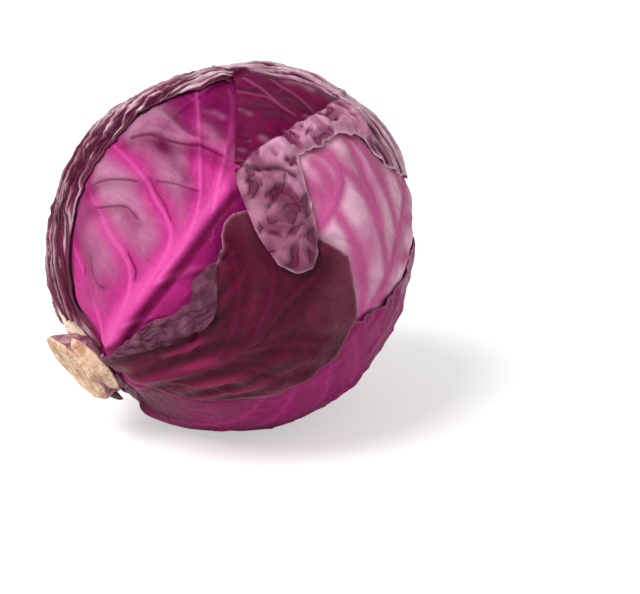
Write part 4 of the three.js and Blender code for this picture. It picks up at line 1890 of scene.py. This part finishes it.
@dataclass
class Stub:
    """The stub of a trimmed leaf: a rounded ledge on the stalk with a slanting pale cut."""

    head: HeadForm
    node: str
    azimuth: float
    spread: float
    low: float
    high: float
    low_radius: float
    high_radius: float
    swell: float = 0.8
    flat_to: float | None = None
    finish: WoodFinish = WoodFinish("stub_flesh")
    root_depth: float = 4.5

    def build(self) -> Object:
        """Builds and dresses the stub.

        Returns:
            The finished stub.
        """
        slab = bmesh.new()
        bmesh.ops.create_cube(slab, size=1.0)
        bmesh.ops.subdivide_edges(slab, edges=slab.edges, cuts=23, use_grid_fill=True)
        mesh = mesh_of(slab, f"{self.node}_slab")
        flat = points_of(mesh)
        round_, up, depth = flat[:, 0] * 2, flat[:, 2] + 0.5, flat[:, 1] + 0.5
        turn = (self.azimuth + round_ * self.spread) * DEGREE
        crescent = 1 - round_**2
        ragged = 0.4 * Waves(9.0, len(self.node) + 70).at(np.column_stack([round_ * 16, up * 0]))
        tall = self.high - self.low
        height = self.low + tall * (0.5 + (up - 0.5) * (0.25 + 0.75 * crescent)) + ragged * up
        rise = up if self.flat_to is None else (height - self.low) / tall
        face = self.low_radius + (self.high_radius - self.low_radius) * rise
        if self.flat_to is not None:
            face = face / np.cos(turn - self.flat_to * DEGREE)
        bulge = self.swell * np.sin(math.pi * up) * crescent
        radius = face - (1 - depth) * self.root_depth + bulge - 1.6 * (1 - crescent)
        points = np.column_stack([radius * np.cos(turn), radius * np.sin(turn), height])
        rough = 0.35 * Waves(7.0, 71).at(points) + 0.22 * Waves(2.6, 72).at(points)
        outward = np.column_stack([np.cos(turn), np.sin(turn), 0.3 * np.ones(len(turn))])
        move_points(mesh, lean(points + (rough * depth)[:, None] * outward))
        rim = np.maximum(ease(0.14, 0.02, up), ease(0.88, 1.0, np.abs(round_)))
        add_mask(mesh, SKIN_MASK, np.maximum(rim, ease(0.9, 0.4, depth)))
        place_on_stem(mesh, self.head)
        return add_piece(f"{self.node}_piece", mesh, self.node, self.finish, "trimmed_stub")


def place_on_stem(mesh: Mesh, head: HeadForm) -> None:
    """Turns a mesh from its own upright axis to the stem axis, with azimuth 0 on its X.

    Args:
        mesh: The mesh, in metres, with its heights measured from the middle of the head.
        head: The head.
    """
    zero, quarter = head.side_axes
    turn = Matrix((zero, quarter, head.stem)).transposed().to_4x4()
    mesh.transform(Matrix.Translation(Vector(head.centre * MM)) @ turn)


# ---- heart


@dataclass(frozen=True)
class HeartFinish:
    """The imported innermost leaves: pale violet-white with crumpled magenta seams."""

    name: str = "packed_heart"
    pale: Tone = (226, 206, 226)
    seam: Tone = (120, 50, 110)

    def make(self) -> Material:
        """Builds the material of this finish.

        Returns:
            The material.
        """
        material, board, shader = new_material(self.name)
        where = board.place()
        bend = board.noise(where, 60.0, 3.0)
        wires = {"Vector": where, "Scale": 60.0, "Distortion": 6.0, "Detail": 3.0}
        folds = board.node("ShaderNodeTexWave", wires).outputs["Fac"]
        seams = board.times(board.band(folds, 0.75, 0.95), board.band(bend, 0.3, 0.6))
        bump = board.node("ShaderNodeBump", {"Height": folds, "Distance": 0.001})
        finish = {
            "Base Color": board.mix(seams, tone(*self.pale), tone(*self.seam)),
            "Roughness": board.band(bend, 0.2, 0.8, 0.4, 0.7),
            "Normal": bump.outputs["Normal"],
        }
        board.feed(shader, finish)
        return material


@dataclass
class Heart:
    """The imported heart, whose shape is right in the frame and which only gets a finish."""

    node: str = "heart"
    finish: HeartFinish = HeartFinish()

    def dress(self, nodes: dict[str, Object]) -> None:
        """Gives the heart its finish.

        Args:
            nodes: The frame's own pieces by name.
        """
        materials = nodes[self.node].data.materials
        materials.clear()
        materials.append(self.finish.make())
        LOG.info("%s: dressed as it stands in the frame", self.node)


# ---- the studio


@dataclass
class Studio:
    """A plain pale floor, soft lamps and the camera."""

    head: HeadForm
    elevation: float = 20.0
    distance: float = 920.0
    lens: float = 120.0
    aim_right: float = 39.3
    aim_down: float = 21.6
    floor_size: float = 14.0
    world_level: float = 0.38
    key_level: float = 2.6
    fill_level: float = 0.35

    def camera(self) -> Object:
        """Places the camera in front of the head, a little above it.

        Returns:
            The camera.
        """
        up_angle = self.elevation * DEGREE
        toward = np.array([0.0, -math.cos(up_angle), math.sin(up_angle)])
        upward = np.array([0.0, math.sin(up_angle), math.cos(up_angle)])
        aim = self.head.centre + np.array([self.aim_right, 0.0, 0.0]) - upward * self.aim_down
        data = bpy.data.cameras.new("camera")
        data.lens = self.lens
        data.sensor_width = 36.0
        data.clip_start, data.clip_end = 0.05, 50.0
        camera = add_object("camera", data)
        camera.location = Vector((aim + toward * self.distance) * MM)
        camera.rotation_mode = "QUATERNION"
        camera.rotation_quaternion = Vector(-toward).to_track_quat("-Z", "Y")
        bpy.context.scene.camera = camera
        return camera

    def lamp(self, name: str, level: float, way: Way, angle: float) -> None:
        """Hangs a far soft lamp.

        Args:
            name: Its name.
            level: Its strength.
            way: The direction from the head to it.
            angle: How wide it looks from the head, in degrees.
        """
        data = bpy.data.lights.new(name, "SUN")
        data.energy = level
        data.angle = angle * DEGREE
        lamp = add_object(name, data)
        lamp.rotation_mode = "QUATERNION"
        lamp.rotation_quaternion = Vector(way).to_track_quat("Z", "Y")

    def world(self) -> None:
        """Hangs an even pale world that lights the head softly and that the camera sees as white."""
        world = bpy.data.worlds.new("studio")
        board = empty_board(world)
        rays = board.node("ShaderNodeLightPath").outputs
        level = board.node("ShaderNodeMapRange", {0: rays["Is Camera Ray"], 3: self.world_level, 4: 1.0})
        sky = board.node("ShaderNodeBackground", {"Color": WHITE, "Strength": level.outputs[0]})
        board.node("ShaderNodeOutputWorld", {"Surface": sky.outputs[0]})
        bpy.context.scene.world = world

    def floor(self) -> Object:
        """Lays the floor, which keeps the head's shadow and otherwise shows white.

        Returns:
            The floor.
        """
        sheet = bmesh.new()
        bmesh.ops.create_grid(sheet, x_segments=2, y_segments=2, size=self.floor_size / 2)
        mesh = mesh_of(sheet, "floor")
        floor = add_object("floor", mesh)
        material = bpy.data.materials.new("floor_paper")
        board = empty_board(material)
        shade = board.band(board.noise(board.place(), 3.0), 0.2, 0.8, 0.78, 0.82)
        paper = board.node("ShaderNodeBsdfDiffuse", {"Color": shade})
        seen = board.node("ShaderNodeLightPath").outputs["Is Camera Ray"]
        glow = board.node("ShaderNodeEmission", {"Strength": board.times(seen, 0.48)})
        both = board.node("ShaderNodeAddShader", {0: paper.outputs[0], 1: glow.outputs[0]})
        board.node("ShaderNodeOutputMaterial", {"Surface": both.outputs[0]})
        mesh.materials.append(material)
        return floor

    def build(self) -> None:
        """Sets up the whole studio."""
        self.camera()
        self.world()
        self.lamp("key", self.key_level, (-0.62, -0.5, 1.0), 34.0)
        self.lamp("fill", self.fill_level, (0.8, -0.9, 0.5), 70.0)
        self.floor()
        bpy.context.scene.view_settings.view_transform = "Standard"


# ---- the cabbage


def shifted(path: Path, along: float) -> Path:
    """The same line, some degrees further from the stalk."""
    return tuple((place[0] + along, place[1]) for place in path)


def fold_strokes(path: Path, depth: float) -> tuple[Stroke, ...]:
    """Draws a fold: a lit crest, the sharp line under it and the soft shade past that.

    Args:
        path: The line of the fold, with the crest on the side away from the stalk.
        depth: How deep it is, from 0 to 1.

    Returns:
        The strokes.
    """
    return (
        Stroke(Mask.BLOOM, 0.55 * depth, 2.2, 1.2 * depth, shifted(path, 1.9)),
        Stroke(Mask.CREASE, 0.5 * depth, 3.4, -1.1 * depth, shifted(path, -1.9)),
        Stroke(Mask.LINE, 0.6 + 0.4 * depth, 1.6 + 0.9 * depth, 0.0, path),
    )


DARK = LeafColours(
    base=(150, 30, 92), middle=(126, 8, 76), tip=(108, 0, 62), glow=(146, 8, 90), vein=(186, 96, 144),
    bloom=(228, 164, 194), rim=(228, 192, 204), crease=(66, 0, 34),
)


def crown_leaf() -> CrownLeaf:
    """Lays out the leaf over the crown, with its tongue.

    Returns:
        The leaf.
    """
    plan = LeafPlan(
        "crown_leaf",
        168.0,
        tip=273.0,
        near_margin=(
            (10, -7), (40, -33), (80, -46), (115, -52), (150, -57), (185, -55), (203, -50), (220, -46),
            (234, -41), (247, -35), (257, -29), (265, -22), (269, -14), (272, -5), (273, 4),
        ),
        far_margin=(
            (10, 7), (40, 30), (80, 42), (115, 42), (150, 32), (185, 22), (204, 16), (211, 11), (216, 4),
            (217, -3), (221, -7), (228, -10.5), (234, -11), (240, -13.3), (244.5, -14), (247, -11.5),
            (253, -2), (259, 7), (265, 11.5), (270, 10), (273, 4),
        ),
        near_wobble=0.12,
        far_wobble=0.6,
        seed=11,
        columns=150,
        rows=310,
    )
    fine_veins = (
        ((240.4, -21.5), (241.4, -18.3), (241.2, -15.8), (241, -13)),
        ((228.1, -20.3), (228.7, -16.2), (228.4, -12.6), (227.2, -10.1)),
    )
    sides = (
        Vein(
            ((230.3, -42.7), (229.2, -37.5), (228, -33.1), (230.3, -28.5), (230.9, -24.5)),
            0.5, 1.0, 0.8, 0.5, 0.2, 2.5,
        ),
        Vein(
            ((219.3, -43.1), (222.6, -37.7), (226.4, -33), (230.8, -27.7), (231, -23)),
            0.6, 1.0, 0.8, 0.6, 0.2, 2.5,
        ),
        Vein(((214.2, -35.3), (217.8, -29.8), (221, -23.5), (224, -19)), 0.5, 1.0, 0.8, 0.5, 0.2, 2.5),
        *(Vein(path, 0.5, 1.0, 0.9, 0.7, 0.3, 3.0) for path in fine_veins),
    )
    creases = (
        Vein(((242, -19.6), (242.8, -18.3), (242.6, -15.5)), 0.4, 0.9, 0.9, 0.5, 0.0, 1.0),
        Vein(((229.9, -18.2), (230.1, -16.2), (229.8, -12.6)), 0.4, 0.9, 0.9, 0.5, 0.0, 1.0),
        Vein(
            ((262.5, -27), (259.8, -23.1), (258.6, -20.6), (254.8, -17.6), (252.4, -15), (250.9, -11)),
            1.4, 1.4, 1.0, 0.85, 0.0, 1.0,
        ),
        Vein(
            ((264, -10), (259.3, -10.5), (256.9, -11), (254.8, -12), (252, -14)),
            1.0, 1.0, 0.9, 0.6, 0.0, 1.0,
        ),
    )
    # Bloom and painted highlight taken off the fine veins, and painted highlights laid along short ridges.
    strokes = tuple(
        Stroke(mask, share, 1.2, lift, path)
        for path in fine_veins
        for mask, share, lift in ((Mask.BLOOM, -0.45, 0.3), (Mask.VEIN, 0.3, 0.0))
    ) + tuple(
        Stroke(Mask.BLOOM, share, size, 0.5, path)
        for share, size, path in (
            (0.14, 1.1, ((241.3, -37.0), (241.6, -35.1), (241.6, -33.1))),
            (0.24, 1.5, ((248.2, -25.4), (248.1, -23.3), (246.9, -21.3), (246.3, -19.8))),
            (0.3, 2.2, ((211.8, -30.2), (211.6, -27.0), (212.6, -23.6))),
        )
    )
    usual = VeinPlan.pinnate(plan, 9, first=26.0, gap=17.0, width=2.4, paint=0.4)
    veins = VeinPlan(
        Vein(
            ((10, 0), (50, -1), (90, -3), (130, -9), (165, -13), (190, -13), (206, -16)),
            2.4, 3.6, 0.25, 0.75, 0.9, 10.0,
        ),
        tuple(v for v in usual.sides if v.path[0][0] < 165) + sides,
        branch_gap=34.0,
        seed=9,
    )
    return CrownLeaf(
        plan,
        LeafFinish(
            "crown_leaf_skin", DARK, net_share=0.0, patch_scale=110.0, patch_share=0.8, streak_share=0.0,
        ),
        veins=veins, creases=creases, strokes=strokes, puff=1.2, crinkle=0.2, bloom=0.06, ruffle=0.6,
        near_rim=0.0, far_rim=0.95, wrinkle=0.0,
    )


def folded_leaf() -> FoldedLeaf:
    """Lays out the leaf at the front whose margin is rolled back.

    Returns:
        The leaf.
    """
    plan = LeafPlan(
        "folded_leaf",
        -30.0,
        tip=106.0,
        near_margin=(
            (9, 3), (16, 5), (21.5, 4.5), (27, -0.5), (32, -4), (37.5, -9.6), (46, -16), (54, -19.5),
            (68, -24), (84, -25), (97, -17), (106, 0),
        ),
        far_margin=(
            (9, 8), (18, 10), (28, 12.7), (38.5, 16), (46.5, 18), (52, 17.4), (56, 17.8), (61, 20),
            (63.5, 23),
            (67, 24), (71, 25), (75, 26.3), (77.5, 28.6), (79.5, 31.3), (83, 33), (86.5, 33.6), (92, 30.5),
            (100, 18), (106, 0),
        ),
        near_wobble=0.2,
        far_wobble=0.3,
        seed=23,
        columns=160,
        rows=150,
    )
    colours = LeafColours(
        base=(118, 16, 54), middle=(90, 6, 42), tip=(76, 0, 34), glow=(150, 20, 80), vein=(156, 56, 104),
        bloom=(150, 66, 98), rim=(206, 146, 166), crease=(44, 0, 20), back=(106, 56, 78),
    )
    return FoldedLeaf(
        plan,
        LeafFinish("folded_leaf_skin", colours, net_share=0.0, gloss=0.24, shine=0.14, streak_share=0.4),
        veins=VeinPlan.pinnate(plan, 12, paint=0.2), puff=2.0, bloom=0.4, near_rim=0.3, far_rim=0.9,
        foot_sink=3.2,
    )


def left_leaf() -> PleatedLeaf:
    """Lays out the leaf on the left with the pleated margin.

    Returns:
        The leaf.
    """
    plan = LeafPlan(
        "left_leaf",
        112.0,
        tip=170.0,
        near_margin=(
            (-5, -19), (-3.2, -20.8), (-1.4, -22.3), (0.6, -23.5), (3, -24.4), (5.4, -24.8), (7.9, -25.2),
            (10.3, -26.2), (16, -31), (26, -38.5), (44, -48.5), (60, -55), (78, -59), (102, -58.5),
            (126, -58), (143, -52), (158, -34), (170, 0),
        ),
        far_margin=(
            (10, 12), (20, 24), (40, 36), (66, 44), (90, 48), (115, 50), (140, 42), (160, 24), (170, 0),
        ),
        base_cut=(
            (-26.1, -5), (-23.2, -4.5), (-22.3, 0), (-22, 5.5), (-20.3, 8.1), (-16.7, 11.2), (-12, 14),
            (-8, 16), (-4, 14), (0, 8),
        ),
        root=-5.0,
        near_wobble=0.5,
        seed=37,
        columns=190,
        rows=160,
    )
    colours = LeafColours(
        base=(116, 30, 66), middle=(116, 34, 70), tip=(108, 26, 64), glow=(130, 36, 80),
        vein=(176, 108, 136), bloom=(182, 112, 140), rim=(240, 210, 220), crease=(48, 0, 24),
    )
    return PleatedLeaf(
        plan,
        LeafFinish("left_leaf_skin", colours, net_share=0.0, streak_share=0.5, patch_share=0.3),
        veins=VeinPlan.pinnate(plan, 13), puff=1.2, crinkle=0.3, near_rim=0.05,
    )


def front_leaf() -> FrontLeaf:
    """Lays out the large bright leaf at the front.

    Returns:
        The leaf.
    """
    plan = LeafPlan(
        "front_leaf",
        10.0,
        tip=132.0,
        near_margin=(
            (9, -12), (20, -20), (40, -30), (60, -34), (80, -30), (94, -20), (104, -8), (114, 6), (124, 17),
            (132, 28),
        ),
        far_margin=(
            (9, 8), (23, 22), (32, 32), (43, 44), (62, 54), (84, 58), (106, 55), (119, 46), (128, 37),
            (132, 28),
        ),
        seed=41,
        columns=216,
        rows=216,
    )
    rib = Vein(
        (
            (10, -5), (17, -3.9), (32, -2.3), (46, -2), (58, -2.2), (68, -1.9), (77, -1), (88, 0.5),
            (95, 1.6), (112, 5.5), (126, 14),
        )
    )
    veins = VeinPlan(
        replace(rib, height=2.9, width=4.8, taper=0.3, paint=0.72, glow=1.0, reach=11.0),
        tuple(
            Vein(path, 1.4, 1.8, 0.5, 0.85, 0.9, 8.0)
            for path in (
                ((57, -4), (70, -3), (78, 0), (85, 5), (93.6, 14.3), (105, 26.5), (112.6, 34), (119, 40)),
                ((49, -3), (60, -2), (69, 1.2), (72.6, 6.8), (74, 13.7), (76, 22), (76, 36), (74, 50)),
                ((30, -3), (40, -1.8), (46, -0.2), (52, 3), (54.8, 8.5), (55, 17), (56.6, 29), (56, 46)),
                ((18, -3), (27, 1), (33, 8), (37, 17), (38, 28)),
                ((84, -2), (95, 6), (104, 12), (114, 20), (122, 28)),
                ((38, -4), (50, -12), (58, -20), (62, -30)),
                ((58, -5), (70, -12), (78, -20), (82, -26)),
            )
        ),
        seed=4,
    )
    first_fold = (
        (80.7, 37.4), (85.3, 33.3), (88.2, 30.1), (89.5, 26), (91.9, 20.8), (95.4, 15.8), (96.8, 10.9),
        (98.2, 5),
    )
    second_fold = ((57.9, 36), (62.9, 33.6), (68, 29.6), (71.9, 25.2), (74, 21.5))
    thin_fold = ((77.5, 18.6), (81, 13.3), (83.8, 7.6), (85.2, 4.9))
    third_fold = ((55.1, 28.9), (59.6, 25.3), (65.1, 19.8), (66.1, 15.7), (65.8, 11.8))
    top_fold = ((96.5, 35.6), (95.6, 28.3), (95.2, 23.5), (96, 16.5))
    # Painted highlights on the crests of folds and bulges; painted shade under the folds and over darker
    # patches towards the top.
    strokes = (
        Stroke(Mask.BLOOM, -0.8, 9.0, 0.0, ((118, 28), (110, 22))),
        *fold_strokes(first_fold, 1.0),
        *fold_strokes(second_fold, 0.7),
        *fold_strokes(thin_fold, 0.4),
        *fold_strokes(third_fold, 0.6),
        Stroke(Mask.BLOOM, 0.5, 1.6, 1.1, top_fold),
        Stroke(Mask.CREASE, 0.4, 2.2, -0.4, shifted(top_fold, 2.2)),
        Stroke(
            Mask.CREASE, 0.5, 2.8, -1.1,
            ((88.5, 28), (87.2, 24), (86.6, 19.5), (86.2, 14.8), (85.2, 10.9)),
        ),
        Stroke(Mask.LINE, 0.78, 1.8, -0.2, ((77.5, 21), (76, 16), (74.8, 10), (72.5, 4))),
        Stroke(Mask.LINE, 0.9, 1.8, -0.4, ((56.5, 9.2), (55.5, 6.2), (54.4, 3.4), (51.5, 1))),
        Stroke(Mask.CREASE, 0.5, 3.2, -0.6, ((110, 27), (105, 23), (103.9, 18), (103, 11.6), (101, 6))),
        Stroke(Mask.CREASE, 0.6, 8.0, 0.0, ((120, 30), (116, 24), (111, 16))),
        Stroke(Mask.BLOOM, 0.5, 1.6, 0.6, ((107.2, 25), (108, 22), (108.6, 19))),
        Stroke(Mask.BLOOM, 0.75, 4.0, 0.8, ((101.2, 20), (100.8, 13), (99.6, 8))),
        Stroke(Mask.BLOOM, -0.8, 8.0, 0.0, ((93.4, 11), (94, 6), (91.5, 1))),
        Stroke(Mask.GLOW, 0.3, 8.0, 0.0, ((93.4, 11), (94, 6), (91.5, 1))),
        Stroke(Mask.BLOOM, 0.5, 11.0, 0.0, ((62, 30), (56, 24), (53, 19))),
        Stroke(Mask.CREASE, 0.34, 6.0, 0.0, ((57, 36), (53, 33), (48, 28.5), (43, 26))),
        Stroke(Mask.CREASE, 0.42, 5.5, 0.0, ((44, 18), (38, 14), (34, 11))),
        Stroke(Mask.BLOOM, 0.6, 6.0, 0.0, ((44, 17), (38, 13), (34, 10))),
        Stroke(Mask.LINE, 0.9, 1.8, -0.5, ((45, 19), (41, 15), (40, 11), (42, 7))),
        Stroke(Mask.LINE, 0.85, 1.8, -0.4, ((39, 19), (36, 15), (34, 10))),
        Stroke(Mask.CREASE, 0.45, 3.0, -0.7, ((41, 38), (36, 34), (33, 31))),
        Stroke(Mask.CREASE, 0.4, 3.4, -0.7, ((33, 29), (28, 24.5), (25, 21))),
        Stroke(Mask.BLOOM, 0.5, 4.0, 0.6, ((37, 31), (32, 26), (28, 21.5))),
    )
    colours = LeafColours(
        base=(206, 46, 138), middle=(170, 38, 118), tip=(122, 0, 82), vein=(236, 98, 178),
        crease=(98, 0, 54), bloom=(188, 132, 160),
    )
    return FrontLeaf(
        plan,
        LeafFinish(
            "front_leaf_skin", colours, net_share=0.04, patch_share=0.3, streak_share=0.14, shine=0.06,
        ),
        veins=veins, strokes=strokes, puff=2.2, puff_reach=8.0, bloom=0.75, crinkle=0.15, wrinkle=0.22,
        wrinkle_pitch=6.0, foot_sink=3.0,
    )


def under_leaf() -> StreakedLeaf:
    """Lays out the leaf that the head rests on.

    Returns:
        The leaf.
    """
    plan = LeafPlan(
        "under_leaf",
        -112.0,
        tip=150.0,
        near_margin=(
            (0, -12), (10, -14), (20, -24), (40, -44), (60, -55), (84, -60), (110, -54), (135, -32),
            (150, 0),
        ),
        far_margin=(
            (0, 28), (9, 38), (18, 44), (30, 50), (40, 56), (60, 63), (84, 65), (110, 58), (135, 34),
            (150, 0),
        ),
        seed=53,
        columns=144,
        rows=130,
    )
    colours = LeafColours(
        base=(136, 2, 80), middle=(164, 8, 106), tip=(158, 14, 104), glow=(190, 14, 128),
        vein=(196, 70, 146), bloom=(156, 54, 110), rim=(200, 150, 172),
    )
    return StreakedLeaf(
        plan,
        LeafFinish("under_leaf_skin", colours, net_share=0.05, gloss=0.26, shine=0.16, streak_share=0.3),
        veins=VeinPlan.pinnate(plan, 14), puff=1.2, bloom=0.15, foot_shade=1.0, foot_reach=42.0,
        foot_sink=4.5,
    )


def right_leaf() -> Leaf:
    """Lays out the pale leaf on the right.

    Returns:
        The leaf.
    """
    plan = LeafPlan("right_leaf", -52.0, tip=196.0, widest=98.0, half=60.0, seed=67, columns=140, rows=150)
    usual = VeinPlan.pinnate(plan, 6, width=1.4, paint=0.26)
    veins = VeinPlan(
        replace(usual.midrib, reach=5.0),
        usual.sides
        + (
            Vein(
                ((96, 36), (112, 33.5), (124.7, 33), (132.3, 34.4), (138.1, 39)),
                0.9, 1.7, 0.8, 0.6, 0.5, 4.5,
            ),
            Vein(((112, 33.5), (124.8, 36.4), (128.2, 39.1), (130.4, 42.8)), 0.7, 1.2, 0.7, 0.45, 0.4, 3.5),
            Vein(((126, 12), (135, 22.9), (139.7, 25.7), (148.2, 31.3)), 0.8, 1.2, 0.7, 0.5, 0.4, 3.5),
        ),
        seed=6,
    )
    colours = LeafColours(
        base=(150, 20, 92), middle=(208, 92, 154), tip=(202, 98, 148), glow=(206, 84, 152),
        vein=(222, 92, 168), bloom=(244, 196, 218), rim=(214, 172, 186),
    )
    return Leaf(
        plan,
        LeafFinish(
            "right_leaf_skin", colours, net_share=0.05, patch_scale=36.0, patch_share=0.35, streak_share=0.12,
        ),
        veins=veins, puff=1.6, puff_reach=5.5, bloom=1.0,
    )


def back_leaf() -> Leaf:
    """Lays out the leaf at the back.

    Returns:
        The leaf.
    """
    plan = LeafPlan("back_leaf", -160.0, tip=184.0, widest=90.0, half=68.0, seed=71, columns=120, rows=110)
    finish = LeafFinish("back_leaf_skin", DARK, net_share=0.06)
    return Leaf(plan, finish, veins=VeinPlan.pinnate(plan, 15), puff=1.8, bloom=0.35)


def wrapper_leaves() -> list[Leaf]:
    """The wrapper leaves, outermost first."""
    makers = (crown_leaf, folded_leaf, left_leaf, front_leaf, under_leaf, right_leaf, back_leaf)
    return [make() for make in makers]


def head_leaves(count: int = 8, turn: float = 137.5) -> list[Leaf]:
    """Lists the head leaves, wound round the heart.

    Args:
        count: How many there are.
        turn: Degrees about the stem from one to the next.

    Returns:
        The leaves, outermost first.
    """
    colours = LeafColours(base=(214, 170, 206), middle=(176, 104, 158), tip=(150, 70, 130))
    finish = LeafFinish("head_leaf_skin", colours)
    made = []
    for index in range(count):
        plan = LeafPlan(
            f"head_leaf_{index + 1:02d}",
            60.0 + turn * index,
            tip=160.0 + 9 * (index % 4),
            widest=92.0 + 3 * (index % 3),
            half=58.0,
            seed=100 + index,
            columns=32,
            rows=36,
        )
        made.append(Leaf(plan, finish, slot="head_leaf", thickness=0.6, puff=0.0, crinkle=0.0, ruffle=0.0))
    return made


def main() -> None:
    """Builds the cabbage and its studio round the frame."""
    logging.basicConfig(level=logging.INFO, format="%(name)s %(message)s")
    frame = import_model()
    head = HeadForm()
    Studio(head).build()
    LeafStack(head, wrapper_leaves(), head_leaves()).build()
    Stalk(head).build()
    for stub in (
        Stub(head, "trimmed_stub_upper", 73.0, 27.0, 67.2, 76.8, 19.4, 10.8, 0.1, 38.0, CREAM_CUT),
        Stub(head, "trimmed_stub_front", -8.0, 53.0, 75.2, 82.0, 20.3, 18.5, swell=-0.4),
        Stub(head, "trimmed_stub_lower", -98.0, 22.0, 77.8, 81.2, 20.2, 18.2, finish=WITHERED),
    ):
        stub.build()
    Heart().dress(frame["nodes"])


if __name__ == "__main__":
    main()
